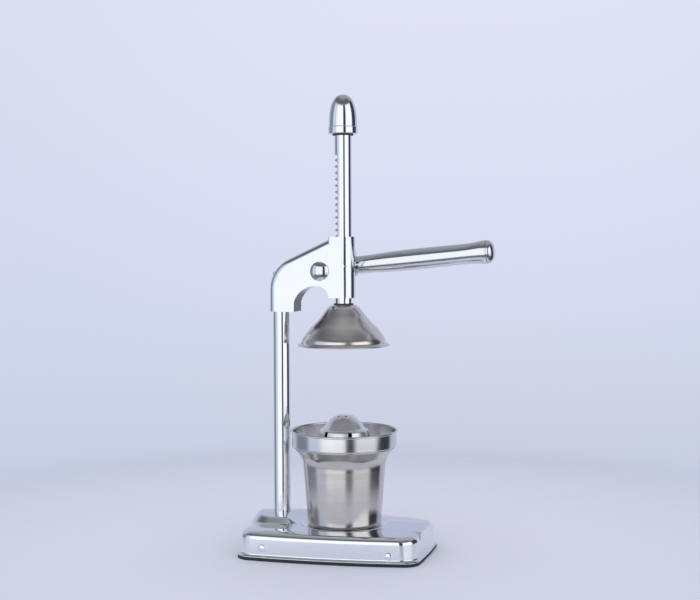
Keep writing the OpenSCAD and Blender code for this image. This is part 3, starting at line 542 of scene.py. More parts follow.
@dataclass(frozen=True)
class PaperFloor(Finish):
    """Pale studio paper under the press, fading out where the sweep begins.

    Reaches are in metres from the press.
    """

    tint: Colour = (0.714, 0.741, 0.868)
    dim: float = 0.97
    fade_from: float = 0.14
    fade_to: float = 0.62
    mirrored_from: float = 0.14
    mirrored_to: float = 0.27
    fibre_grains: float = 900.0
    satin: float = 0.6
    spread: float = 0.2
    gleam: float = 0.25

    def paint(self, sheet: NodeSheet) -> Wire:
        """Matt paper, its cover a smooth step of the distance from the press.

        The plating mirrors only the paper close by, and the panels beyond it.

        Args:
            sheet: The material's empty sheet.

        Returns:
            The shader.
        """
        reach = sheet.measure("LENGTH", sheet.node("ShaderNodeTexCoord", output="Object"))
        seen = sheet.smooth(reach, self.fade_to, self.fade_from)
        mirrored = sheet.smooth(reach, self.mirrored_to, self.mirrored_from)
        glossy = sheet.node("ShaderNodeLightPath", output="Is Glossy Ray")
        fibre = sheet.grain(even(self.fibre_grains), detail=3.0)
        return sheet.surface(
            Base_Color=sheet.mix(fibre, self.tint, dimmed(self.tint, self.dim)),
            Roughness=self.satin + self.spread * fibre,
            Specular_IOR_Level=self.gleam,
            Alpha=seen - glossy * (seen - mirrored),
        )


class Look(Enum):
    """The finishes on the press, each a material of its own."""

    PLATED_BASE = Chrome(
        "plated_base", tint=(0.90, 0.92, 0.95), haze=0.06, ripple=0.08, ripple_grains=45.0
    )
    PLATED_COLUMN = Chrome("plated_column", ripple=0.03, scratch=0.002)
    PLATED_CASTING = CastChrome(
        "plated_casting", tint=(0.84, 0.87, 0.91), haze=0.09, ripple=0.12, ripple_grains=110.0
    )
    PLATED_LEVER = Chrome(
        "plated_lever", tint=(0.82, 0.83, 0.86), haze=0.10, haze_spread=0.09, ripple=0.14, turn=95.5
    )
    PLATED_ROD = Chrome("plated_rod", ripple=0.03, scratch=0.002)
    SPUN_CUP = SpunSteel("spun_cup", tint=(0.70, 0.665, 0.63), satin=0.16, spread=0.08)
    SPUN_STRAINER = SpunSteel(
        "spun_strainer", tint=(0.78, 0.78, 0.79), satin=0.17, spread=0.08, dull_inside=0.0446
    )
    SPUN_DOME = SpunSteel("spun_dome", tint=(0.88, 0.83, 0.80), satin=0.22, spread=0.06)
    INNER_STEEL = TurnedMetal("inner_steel")
    FASTENER_STEEL = TurnedMetal("fastener_steel", tint=(0.66, 0.67, 0.70), satin=0.26)
    GEAR_STEEL = TurnedMetal("gear_steel", tint=(0.42, 0.43, 0.45), satin=0.38)
    WASHER_BRASS = TurnedMetal("washer_brass", tint=(0.72, 0.53, 0.27), satin=0.3)
    PAD_RUBBER = Rubber("pad_rubber")
    BUMPER_RUBBER = Rubber("bumper_rubber", tint=(0.010, 0.010, 0.012))
    STUDIO_PAPER = PaperFloor("studio_paper")


# ---------------------------------------------------------------- surfaces


@dataclass(frozen=True)
class Corner:
    """A corner of a turned profile: its radius from the axis, its height and its rounding."""

    radius: float
    height: float
    rounding: float = 0.0


def rounded_profile(corners: Sequence[Corner], steps: int = 6) -> Array:
    """A profile whose corners are replaced by arcs that touch both sides.

    The arc at a corner starts a length rounding / tan(half the corner's inner angle) before it,
    shortened where a side is too short, and is drawn as a quadratic curve of three points.

    Args:
        corners: The profile's corners in order.
        steps: How many pieces each arc has.

    Returns:
        Rows of radius and height.
    """
    places = np.array([(c.radius, c.height) for c in corners])
    rows = [places[:1]]
    t = np.linspace(0, 1, steps + 1)[:, None]
    for before, here, after, corner in zip(places, places[1:], places[2:], corners[1:]):
        to_back, to_front = before - here, after - here
        back, front = np.linalg.norm(to_back), np.linalg.norm(to_front)
        if corner.rounding <= 0:
            rows.append(here[None])
            continue
        cosine = np.clip(to_back @ to_front / (back * front), -0.9999, 0.9999)
        reach = min(corner.rounding / math.tan(math.acos(cosine) / 2), 0.48 * back, 0.48 * front)
        start, end = here + to_back / back * reach, here + to_front / front * reach
        rows.append((1 - t) ** 2 * start + 2 * t * (1 - t) * here + t**2 * end)
    rows.append(places[-1:])
    return np.concatenate(rows)


def grid_faces(rows: int, columns: int, close_rows: bool = False) -> Array:
    """Quads of a grid whose columns run round and meet; its rows meet too if asked.

    Args:
        rows: How many rows of points.
        columns: How many points in each row.
        close_rows: True where the last row joins the first.

    Returns:
        Four point numbers for each face.
    """
    row = np.arange(rows if close_rows else rows - 1)[:, None] * columns
    after = (row + columns) % (rows * columns)
    column = np.arange(columns)[None]
    right = (column + 1) % columns
    return np.stack([row + column, row + right, after + right, after + column], -1).reshape(-1, 4)


@dataclass
class Piece:
    """A mesh that is being put together: points in millimetres and lists of faces."""

    name: str
    points: list[Array] = field(default_factory=list)
    faces: list[list[int]] = field(default_factory=list)

    def add(self, points: Array, faces: Iterable[Sequence[int]]) -> Piece:
        """Adds points and the faces between them.

        Args:
            points: Rows of three coordinates.
            faces: Point numbers within these points.

        Returns:
            The piece itself.
        """
        start = sum(len(p) for p in self.points)
        self.points.append(np.asarray(points, float).reshape(-1, 3))
        self.faces.extend((np.asarray(faces) + start).tolist())
        return self

    def add_grid(self, grid: Array, close_rows: bool = False, cap_ends: bool = False) -> Piece:
        """Adds a grid of points whose columns run round.

        Args:
            grid: Rows by columns by three coordinates.
            close_rows: True where the last row joins the first.
            cap_ends: True where the first and last rows are closed by flat faces.

        Returns:
            The piece itself.
        """
        rows, columns = grid.shape[:2]
        start = sum(len(p) for p in self.points)
        self.add(grid.reshape(-1, 3), grid_faces(rows, columns, close_rows))
        if cap_ends:
            last = start + (rows - 1) * columns
            self.faces.append([start + i for i in reversed(range(columns))])
            self.faces.append([last + i for i in range(columns)])
        return self

    def build(self, body: str, look: Look, slot: str, replaces: Sequence[str], crease: float) -> None:
        """Makes the object: doubles merged, faces turned outwards, shaded smooth but for creases.

        Args:
            body: The CAD body that it rides on.
            look: Its finish.
            slot: The record's material slot; not used.
            replaces: The CAD nodes that it stands for.
            crease: Angle, in degrees, past which an edge stays sharp.
        """
        points = np.concatenate(self.points) * MM
        keys = np.round(points / MERGE_DISTANCE).astype(np.int64)
        _, first, inverse = np.unique(keys, axis=0, return_index=True, return_inverse=True)
        inverse = inverse.reshape(-1)
        merged = [list(dict.fromkeys(inverse[face].tolist())) for face in self.faces]
        mesh = bpy.data.meshes.new(self.name)
        mesh.from_pydata(points[first].tolist(), [], [face for face in merged if len(face) > 2])
        mesh.validate()
        mesh.polygons.foreach_set("use_smooth", np.ones(len(mesh.polygons), bool))
        mesh.set_sharp_from_angle(angle=math.radians(crease))
        mesh.materials.append(look.value.material())
        made = bpy.data.objects.new(self.name, mesh)
        bpy.context.scene.collection.objects.link(made)
        if signed_volume(mesh) < 0:
            mesh.flip_normals()
        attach(made, body)
        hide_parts(*replaces)
        sizes = (len(mesh.vertices), len(mesh.polygons))
        LOG.info("%s: %d points, %d faces, stands for %s", self.name, *sizes, ", ".join(replaces))


def signed_volume(mesh: bpy.types.Mesh) -> float:
    """Volume inside a mesh, negative where its faces point inwards.

    Args:
        mesh: A closed mesh.

    Returns:
        The sum over its triangles of a . (b x c) / 6.
    """
    mesh.calc_loop_triangles()
    places = np.empty(len(mesh.vertices) * 3)
    mesh.vertices.foreach_get("co", places)
    corners = np.empty(len(mesh.loop_triangles) * 3, np.int32)
    mesh.loop_triangles.foreach_get("vertices", corners)
    a, b, c = places.reshape(-1, 3)[corners.reshape(-1, 3)].transpose(1, 0, 2)
    return float(np.einsum("ij,ij->i", a, np.cross(b, c)).sum() / 6)


def lathe(profile: Array, segments: int) -> Array:
    """A profile turned about the Z axis: x = r cos a, y = r sin a, z = h.

    Args:
        profile: Rows of radius and height.
        segments: Points around.

    Returns:
        The grid of points, one row for each profile point.
    """
    a = np.linspace(0, 2 * np.pi, segments, endpoint=False)
    r, h = profile[:, :1], profile[:, 1:]
    return np.stack([r * np.cos(a), r * np.sin(a), h + 0 * a], -1)


def at_height(plan: Array, height: float) -> Array:
    """Points of a plan, all lifted to one height."""
    return np.column_stack([plan, np.full(len(plan), height)])


def turned_to(grid: Array, axis: Sequence[float], across: Sequence[float], origin: Sequence[float]) -> Array:
    """Carries a grid's Z axis to another axis and its origin to another place.

    Args:
        grid: Points.
        axis: Where Z goes, of length one.
        across: Where X goes, of length one and square to the axis.
        origin: Where the origin goes.

    Returns:
        x across + y (axis x across) + z axis + origin.
    """
    axis, across = np.asarray(axis, float), np.asarray(across, float)
    frame = np.stack([across, np.cross(axis, across), axis])
    return grid @ frame + np.asarray(origin, float)


def arc(centre: Sequence[float], radius: float, start: float, end: float, steps: int) -> Array:
    """Points of an arc in a plane.

    Args:
        centre: The arc's centre.
        radius: Its radius.
        start: Its first angle, in degrees.
        end: Its last angle.
        steps: How many pieces.

    Returns:
        Rows of two coordinates: centre + radius (cos a, sin a).
    """
    a = np.radians(np.linspace(start, end, steps + 1))
    return np.asarray(centre) + radius * np.stack([np.cos(a), np.sin(a)], -1)


def crossing(a: Array, radius_a: float, b: Array, radius_b: float) -> Array:
    """The crossing of two circles on the left of the line between their centres.

    With g the gap between the centres it lies at (ra^2 - rb^2 + g^2) / 2g along that line.

    Args:
        a: Centre of the first circle.
        radius_a: Its radius.
        b: Centre of the second circle.
        radius_b: Its radius.

    Returns:
        The crossing.
    """
    gap = np.linalg.norm(b - a)
    along = (b - a) / gap
    reach = (radius_a**2 - radius_b**2 + gap**2) / (2 * gap)
    return a + reach * along + math.sqrt(radius_a**2 - reach**2) * along[::-1] * [-1, 1]


def heading(a: Array, b: Array) -> float:
    """Angle, in degrees, of the line from a to b."""
    return math.degrees(math.atan2(b[1] - a[1], b[0] - a[0]))


def ease(t: Array) -> Array:
    """Smooth step 3t^2 - 2t^3, held at its ends."""
    t = np.clip(t, 0, 1)
    return t * t * (3 - 2 * t)


def flowing(places: Sequence[Sequence[float]], count: int) -> Array:
    """A smooth line through places, in cubic pieces.

    Each piece is h1 p0 + h2 m0 + h3 p1 + h4 m1 with h1 = 2t^3 - 3t^2 + 1, h2 = t^3 - 2t^2 + t,
    h3 = 3t^2 - 2t^3 and h4 = t^3 - t^2, the slopes m taken from the neighbours.

    Args:
        places: Rows of coordinates.
        count: How many points the line gets, equally far apart along it.

    Returns:
        The points.
    """
    places = np.asarray(places, float)
    run = np.concatenate([[0.0], np.cumsum(np.linalg.norm(np.diff(places, axis=0), axis=1))])
    slope = np.gradient(places, run, axis=0)
    at = np.linspace(0, run[-1], count)
    i = np.clip(np.searchsorted(run, at, "right") - 1, 0, len(run) - 2)
    h = (run[i + 1] - run[i])[:, None]
    t = (at - run[i])[:, None] / h
    first = (2 * t**3 - 3 * t**2 + 1) * places[i] + (t**3 - 2 * t**2 + t) * h * slope[i]
    return first + (3 * t**2 - 2 * t**3) * places[i + 1] + (t**3 - t**2) * h * slope[i + 1]


def beside(line: Array, distance: float) -> Array:
    """A line drawn at a distance on the left of another one: p + d (-t_y, t_x).

    Args:
        line: Rows of two coordinates.
        distance: How far, below zero for the right side.

    Returns:
        As many rows.
    """
    tangent = np.gradient(line, axis=0)
    tangent /= np.linalg.norm(tangent, axis=1, keepdims=True)
    return line + distance * tangent[:, ::-1] * [-1, 1]


def pierced_faces(rows: int, columns: int, open_cells: Array) -> Array:
    """Faces of a sheet with two sides and holes through it.

    Rows 0 to n - 1 are one side and rows n to 2n - 1 the other one, so that row i lies opposite
    row 2n - 1 - i. Where a cell is open the quads of both sides are left out, and each edge
    between an open and a closed cell gets a quad across the sheet.

    Args:
        rows: n.
        columns: Points around.
        open_cells: (n - 1) by columns, True where the sheet is open.

    Returns:
        Four point numbers for each face.
    """
    faces = grid_faces(2 * rows, columns, close_rows=True)
    border = np.zeros((1, columns), bool)
    shut = ~np.concatenate([open_cells, border, open_cells[::-1], border])
    number = np.arange(2 * rows * columns).reshape(2 * rows, columns)
    this, that = number[:rows], number[::-1][:rows]
    along = np.diff(np.concatenate([border, open_cells, border]).astype(int), axis=0)
    across = np.stack([this, np.roll(this, -1, 1), np.roll(that, -1, 1), that], -1)
    around = np.roll(open_cells, 1, 1).astype(int) - open_cells.astype(int)
    upright = np.stack([this[:-1], this[1:], that[1:], that[:-1]], -1)
    walls = [quads[steps == 1] for quads, steps in ((across, along), (upright, around))]
    walls += [quads[steps == -1][:, ::-1] for quads, steps in ((across, along), (upright, around))]
    return np.concatenate([faces[shut.reshape(-1)], *walls])


# ---------------------------------------------------------------- sub-assemblies


@dataclass
class PressedBase:
    """The plated pressing on its rubber pad, with the hump under the column.

    Insets are distances inwards from the base's largest outline. The steps are how many pieces
    the outline has on its free end, front corner, side and rear corner, and then on the column's
    end: to the hump's flank, beside it and across the hump.
    """

    left: float = 85.8
    right: float = 77.2
    half_width: float = 57.3
    widest: float = 50.0
    side_bow: float = 600.0
    end_bow: float = 600.0
    rear_corner: float = 14.0
    front_corner: float = 11.0
    corner_growth: float = 7.0
    growth_run: float = 3.5
    arc_steps: tuple[int, int, int, int] = (24, 14, 60, 18)
    end_steps: tuple[int, int, int] = (8, 32, 14)
    pad_height: float = 2.7
    pad_inset: float = 1.4
    pad_edge: float = 0.5
    pad_cover: float = 3.0
    lip_inset: float = 1.2
    lip_rise: float = 0.9
    lip_edge: float = 0.45
    lip_cover: float = 1.6
    wall_inset: float = 3.2
    wall_draft: float = 0.6
    foot_fillet: float = 1.9
    shoulder_height: float = 17.6
    shoulder_radius: float = 6.0
    shoulder_end: float = 7.0
    crown_steps: int = 59
    seat_height: float = 24.5
    seat_radius: float = 36.0
    seat_fade: float = 12.0
    seat_rings: tuple[float, ...] = (33.0, 24.0, 12.0, 0.0)
    bead_width: float = 2.4
    bead_height: float = 0.6
    bead_margin: float = 0.3
    hump_height: float = 31.4
    hump_crown: float = 1.7
    hump_half_width: float = 17.5
    hump_left: float = 76.6
    hump_corner: float = 14.0
    hump_margin: float = 8.5
    hump_flank: float = 9.0
    hump_edge: float = 1.5
    hump_sink: float = 0.5
    side_slope: float = 0.93
    end_slope: float = 1.3
    taper_from: float = 56.0
    taper_run: float = 20.0
    taper: float = 1.0
    ramp_from: float = 53.5
    ramp_run: float = 14.0
    ramp_power: float = 1.5
    level_from: float = -20.0
    level_run: float = 10.0
    blend: float = 1.2
    rivet_places: tuple[tuple[float, float], ...] = ((-57.5, 10.6), (51.3, 8.4))
    rivet_radius: float = 3.3
    rivet_rise: float = 1.0
    rivet_lean: float = 0.075

    @property
    def flank(self) -> float:
        """How far from the middle the lines that run along the hump begin."""
        return self.hump_half_width + self.hump_margin

    def outline(self, inset: float) -> Array:
        """The base's outline in plan, drawn inwards.

        Four large arcs, two for the long sides and one for each end, joined by corner arcs whose
        centres are crossings of circles: for the corner radius c the crossing of the end's circle
        and the side's circle, both made smaller by inset + c. Across the column end the points
        keep the same distances from the middle on every inset, close together beside the hump.

        Args:
            inset: Distance inwards.

        Returns:
            Points all round, starting at the middle of the free end.
        """
        side = np.array([-self.widest, self.half_width - self.side_bow])
        front = np.array([self.right - self.end_bow, 0.0])
        rear = np.array([self.end_bow - self.left, 0.0])
        growth = float(ease(np.array(inset / self.growth_run)))
        front_corner = self.front_corner + self.corner_growth * growth
        to_front, to_rear = inset + front_corner, inset + self.rear_corner
        c_front = crossing(front, self.end_bow - to_front, side, self.side_bow - to_front)
        c_rear = crossing(side, self.side_bow - to_rear, rear, self.end_bow - to_rear)
        sights = ((front, c_front), (side, c_front), (side, c_rear), (rear, c_rear))
        turns = (0.0, *(heading(*sight) for sight in sights))
        bow = self.end_bow - inset
        marks = (bow * math.sin(math.radians(turns[4])), self.flank, self.flank - self.hump_flank, 0.0)
        runs = [np.linspace(*ends, steps + 1) for *ends, steps in zip(marks, marks[1:], self.end_steps)]
        rows = np.concatenate([runs[0][:-1], runs[1][:-1], runs[2]])
        end = np.column_stack([rear[0] - np.sqrt(bow * bow - rows * rows), rows])
        centres = (front, c_front, side, c_rear)
        radii = (bow, front_corner, self.side_bow - inset, self.rear_corner)
        arcs = [arc(*given)[:-1] for given in zip(centres, radii, turns, turns[1:], self.arc_steps)]
        half = np.concatenate([*arcs, end])
        return np.concatenate([half, half[-2:0:-1] * [1, -1]])

    def rings(self, profile: Array) -> Array:
        """The outline at each inset and height of a profile.

        Args:
            profile: Rows of inset and height.

        Returns:
            Rings by points by three coordinates.
        """
        return np.stack([at_height(self.outline(inset), height) for inset, height in profile])

    def seat_circle(self, edge: Array, radius: float) -> Array:
        """The point of a circle about the Z axis that belongs to each point of an outline.

        Beside the hump a point keeps its y, so that the lines between the two run along the hump.
        Past the hump the angle from the -X axis grows with the length run along the outline, fast
        at first and fast again towards the middle of the side, and from there on it is the
        direction of the point itself.

        Args:
            edge: Points of an outline.
            radius: The circle's radius.

        Returns:
            Points of the circle.
        """
        near, fade, quarter = self.flank, self.seat_fade, math.pi / 2
        own = np.arctan2(np.abs(edge[:, 1]), -edge[:, 0])
        straight = (np.abs(edge[:, 1]) < near + 0.01) & (edge[:, 0] < 0)
        start = math.asin(near / radius)
        first = int(np.argmax(straight))
        half = slice(0, first + 1)
        steps = np.linalg.norm(np.diff(edge[half], axis=0), axis=1)
        run = np.concatenate([np.cumsum(steps[::-1])[::-1], [0.0]])
        middle = int(np.argmin(np.abs(own[half] - quarter)))
        whole = run[middle]
        fast, ending = 1 / math.sqrt(radius**2 - near**2), 1 / edge[middle, 1]
        slow = (quarter - start - (fast + ending) * fade) / (whole - 2 * fade)
        leaving = (fast - slow) * fade * (1 - np.exp(-run / fade))
        arriving = (ending - slow) * fade * (np.exp(-(whole - run) / fade) - math.exp(-whole / fade))
        warped = np.minimum(start + slow * run + leaving + arriving, quarter)
        angle = own.copy()
        angle[half] = np.where(np.arange(first + 1) < middle, own[half], warped)
        angle[straight] = np.arcsin(np.clip(np.abs(edge[straight, 1]) / radius, 0, 1))
        mirror = np.arange(len(edge)) > len(edge) // 2
        angle[mirror] = angle[(-np.arange(len(edge))[mirror]) % len(edge)]
        return radius * np.column_stack([-np.cos(angle), np.sin(angle) * np.where(mirror, -1.0, 1.0)])

    def hump(self, x: Array, y: Array) -> Array:
        """Height of the hump over a place in plan, sloping away outside its plateau.

        Its top, a little crowned, is level past the column and then falls, by a smooth step of
        the distance from the cup, to just under the cup's seat. Outside the plateau, a rectangle
        with round corners, it falls by slope (sqrt(d^2 + e^2) - e), where d is the distance from
        the plateau and e its rounding.

        Args:
            x: Places along the base.
            y: Places across it.

        Returns:
            Heights.
        """
        ramp = ease((self.ramp_from - np.hypot(x, y)) / self.ramp_run) ** self.ramp_power
        fall = np.maximum(ramp, ease((x - self.level_from) / self.level_run))
        crowned = self.hump_height - self.hump_crown * (y / self.hump_half_width) ** 2
        top = crowned - (crowned - self.seat_height + self.hump_sink) * fall
        corner = self.hump_corner
        half_width = self.hump_half_width - self.taper * ease((x + self.taper_from) / self.taper_run)
        out_side = np.maximum(np.abs(y) - half_width + corner, 0)
        out_end = np.maximum(-x - self.hump_left + corner, 0)
        away = np.maximum(np.hypot(out_side, out_end) - corner, 0)
        share = out_end**2 / (out_end**2 + out_side**2 + 1e-9)
        slope = self.side_slope + (self.end_slope - self.side_slope) * share
        return top - slope * (np.hypot(away, self.hump_edge) - self.hump_edge)

    def wall_profile(self) -> Array:
        """The pressing's wall: rounded lip, fillet, drafted wall and shoulder.

        Returns:
            Rows of inset and height.
        """
        lip, edge, fillet = self.lip_inset, self.lip_edge, self.foot_fillet
        lip_top = self.pad_height + self.lip_rise
        crown = (self.wall_inset + self.wall_draft + self.shoulder_radius, self.shoulder_height)
        return np.concatenate([
            [[lip + self.lip_cover, self.pad_height]],
            arc([lip + edge, self.pad_height + edge], edge, 270, 180, 4),
            arc([lip + edge, lip_top - edge], edge, 180, 90, 4),
            arc([self.wall_inset - fillet, lip_top + fillet], fillet, 270, 360, 8),
            arc(crown, self.shoulder_radius, 180, 90 + self.shoulder_end, 22),
        ])

    def shell_rings(self) -> Array:
        """Rings of the pressing from under its lip, up the wall and over the crown to the centre.

        Wall rings are the outline at the inset and height of a profile. From the last of them the
        crown runs straight in plan to the circle of the bead, while its height goes from the
        shoulder's to the seat's by 1 - (1 - t)^p, p chosen so that the slope carries on from the
        shoulder. Then the higher of crown and hump is taken, softly: (a + b + sqrt((a - b)^2 +
        k^2)) / 2. Inside, circles carry the bead and shrink to the centre.

        Returns:
            Rings by points by three coordinates.
        """
        wall = self.rings(self.wall_profile())
        edge, start = wall[-1, :, :2], wall[-1, 0, 2]
        bead, seat = self.seat_radius + self.bead_width, self.seat_height
        circle = self.seat_circle(edge, bead + self.bead_margin)
        span = np.linalg.norm(circle - edge, axis=1)
        power = np.maximum(1.0, math.tan(math.radians(self.shoulder_end)) * span / (seat - start))
        t = ease(np.linspace(0, 1, self.crown_steps + 1)[1:])[:, None] ** 0.9
        plan = (1 - t[..., None]) * edge + t[..., None] * circle
        body = np.concatenate([wall, np.dstack([plan, start + (seat - start) * (1 - (1 - t) ** power)])])
        high, level = self.hump(body[..., 0], body[..., 1]), body[..., 2]
        soft = (level + high + np.sqrt((level - high) ** 2 + self.blend**2)) / 2
        body[..., 2] = np.where(level > self.shoulder_height - 0.01, soft, level)
        unit = circle / (bead + self.bead_margin)
        across = np.linspace(0, 1, 13)
        swell = self.bead_height * np.abs(np.sin(math.pi * across)) ** 0.7
        radii = bead - self.bead_width * across
        ridge = [at_height(unit * radius, seat + rise) for radius, rise in zip(radii, swell)]
        floor = [at_height(unit * radius, seat) for radius in self.seat_rings]
        return np.concatenate([body, np.stack(ridge + floor)])

    def pad_rings(self) -> Array:
        """Rings of the pad, whose edges are rounded top and bottom.

        Returns:
            Rings by points by three coordinates.
        """
        inset, top, r = self.pad_inset, self.pad_height, self.pad_edge
        return self.rings(np.concatenate([
            [[inset + self.pad_cover, 0.0]],
            arc([inset + r, r], r, 270, 180, 5),
            arc([inset + r, top - r], r, 180, 90, 5),
            [[inset + self.pad_cover, top]],
        ]))

    def rivet_heads(self) -> Piece:
        """The four low round heads on the long walls, each square to the wall.

        Returns:
            The piece that holds them.
        """
        piece = Piece("wall_rivets")
        t = np.linspace(0, np.pi / 2, 9)
        dome = np.column_stack([self.rivet_radius * np.cos(t), self.rivet_rise * np.sin(t)])
        grid = lathe(np.concatenate([[[0.0, -1.0], [self.rivet_radius, -1.0]], dome]), 40)
        wall_height = self.shoulder_height - self.pad_height
        for x, z in self.rivet_places:
            ring = self.outline(self.wall_inset + self.wall_draft * (z - self.pad_height) / wall_height)
            half = ring[ring[:, 1] > self.half_width / 2]
            half = half[np.argsort(half[:, 0])]
            before, here, after = np.interp([x - 1, x, x + 1], half[:, 0], half[:, 1])
            for side in (-1, 1):
                axis = np.array([(before - after) / 2, side, self.rivet_lean])
                across = np.array([-side, axis[0], 0.0])
                axis, across = axis / np.linalg.norm(axis), across / np.linalg.norm(across)
                piece.add_grid(turned_to(grid, axis, across, (x, side * here, z)))
        return piece

    def make(self) -> None:
        """Builds the pressing, the pad and the rivets' heads."""
        shell = Piece("pressed_base").add_grid(self.shell_rings(), cap_ends=True)
        shell.build("root", Look.PLATED_BASE, "base_chrome", ["base_shell"], crease=50)
        pad = Piece("foot_pad").add_grid(self.pad_rings(), cap_ends=True)
        pad.build("root", Look.PAD_RUBBER, "pad_rubber", ["rubber_pad"], crease=50)
        self.rivet_heads().build("root", Look.PLATED_BASE, "base_chrome", ["base_rivets"], crease=60)


@dataclass
class Cupware:
    """The juice cup and the strainer in its mouth. Lines are rows of radius and height."""

    cup_floor: float = 24.5
    cup_foot: float = 30.9
    cup_foot_edge: float = 1.3
    cup_line: Line = (
        (32.2, 26.7), (32.9, 36.0), (34.5, 57.0), (35.8, 73.0),
        (36.5, 79.0), (38.3, 83.6), (41.6, 87.9), (45.0, 91.75),
    )
    punt: Line = ((0.0, 0.6), (22.0, 0.6), (26.0, 0.02))
    cup_wall: float = 0.9
    inner_floor: float = 1.0
    inner_corner: float = 2.5
    inner_corner_at: float = 29.0
    sheet: float = 0.9
    reamer: Line = (
        (0.0, 118.9), (4.0, 118.7), (8.0, 117.5), (11.6, 115.1),
        (14.2, 112.2), (16.2, 109.4), (17.4, 107.7), (18.4, 106.9),
    )
    reamer_foot: Line = (
        (18.4, 106.9), (19.6, 106.5), (20.5, 105.8), (21.1, 104.4), (21.9, 101.4),
        (22.9, 97.8), (24.2, 94.6), (26.3, 92.9), (29.0, 92.4),
    )
    dish: tuple[Corner, ...] = (
        Corner(29.0, 92.4), Corner(35.4, 92.4, 1.0), Corner(36.4, 90.0, 1.0), Corner(41.0, 90.0, 1.0),
        Corner(43.0, 92.4, 1.0), Corner(45.15, 92.5, 1.6), Corner(45.15, 105.2),
    )
    columns: int = 240
    slots: int = 6
    slot_cells: int = 6
    slot_low: float = 100.2
    slot_high: float = 105.9
    slot_reach: float = 24.0
    holes: int = 6
    hole_ring: float = 6.6
    hole_radius: float = 1.15
    rim_radius: float = 46.05
    rim_height: float = 105.45
    roll: float = 0.95

    def cup_rings(self) -> Array:
        """The cup turned from its outside and, one wall inside it, its inside.

        Returns:
            Rings from the middle underneath, up the outside, over the mouth and down the inside.
        """
        base, wall, corner = self.cup_floor, self.cup_wall, self.inner_corner
        lift = [0.0, self.punt[-1][1]]
        foot = arc([self.cup_foot, base + self.cup_foot_edge], self.cup_foot_edge, 270, 350, 8) + lift
        side = flowing(self.cup_line, 90)
        inside = beside(side, wall)[::-1]
        inside = inside[inside[:, 1] > base + wall + corner]
        lip = arc(side[-1] - [wall / 2, 0.0], wall / 2, 0, 180, 5)[1:-1]
        bottom = arc([self.inner_corner_at, base + self.inner_floor + corner], corner, 0, -90, 6)
        middle = [[0.0, base + self.inner_floor]]
        punt = np.array(self.punt) + [0.0, base]
        return lathe(np.concatenate([punt, foot, side[1:], lip, inside, bottom, middle]), 180)

    def strainer(self) -> Piece:
        """The strainer: a pierced sheet with a rolled rim.

        The middle of the sheet is a line from the reamer's crown out to the rim, turned about the
        Z axis. A cell is open where it lies in one of the slots round the reamer's foot or near
        enough to one of the holes in a ring round its crown.

        Returns:
            The piece that holds them.
        """
        dish = rounded_profile(self.dish, 4)
        line = np.concatenate([flowing(self.reamer, 34), flowing(self.reamer_foot, 34)[1:], dish[1:]])
        upper, under = beside(line, self.sheet / 2), beside(line, -self.sheet / 2)
        upper[0, 0] = under[0, 0] = 0.0
        radius, height = ((line[1:] + line[:-1]) / 2).T[:, :, None]
        cell = np.arange(self.columns)[None]
        in_slot = (cell + self.slot_cells // 2) % (self.columns // self.slots) < self.slot_cells
        at_foot = (height > self.slot_low) & (height < self.slot_high) & (radius < self.slot_reach)
        away = ((cell + 0.5) * self.holes / self.columns + 0.5) % 1.0 - 0.5
        aside = away * 2 * np.pi / self.holes * self.hole_ring
        in_hole = np.hypot(radius - self.hole_ring, aside) < self.hole_radius
        sheet = lathe(np.concatenate([upper, under[::-1]]), self.columns)
        rim = arc([self.rim_radius, self.rim_height], self.roll, 0, 360, 16)[:-1]
        piece = Piece("strainer_dish")
        piece.add(sheet, pierced_faces(len(line), self.columns, in_slot & at_foot | in_hole))
        return piece.add_grid(lathe(rim, 180), close_rows=True)

    def make(self) -> None:
        """Builds the cup and the strainer."""
        cup = Piece("juice_cup").add_grid(self.cup_rings())
        cup.build("cup", Look.SPUN_CUP, "cup_steel", ["cup"], crease=60)
        self.strainer().build("strainer", Look.SPUN_STRAINER, "strainer_steel", ["strainer"], crease=50)


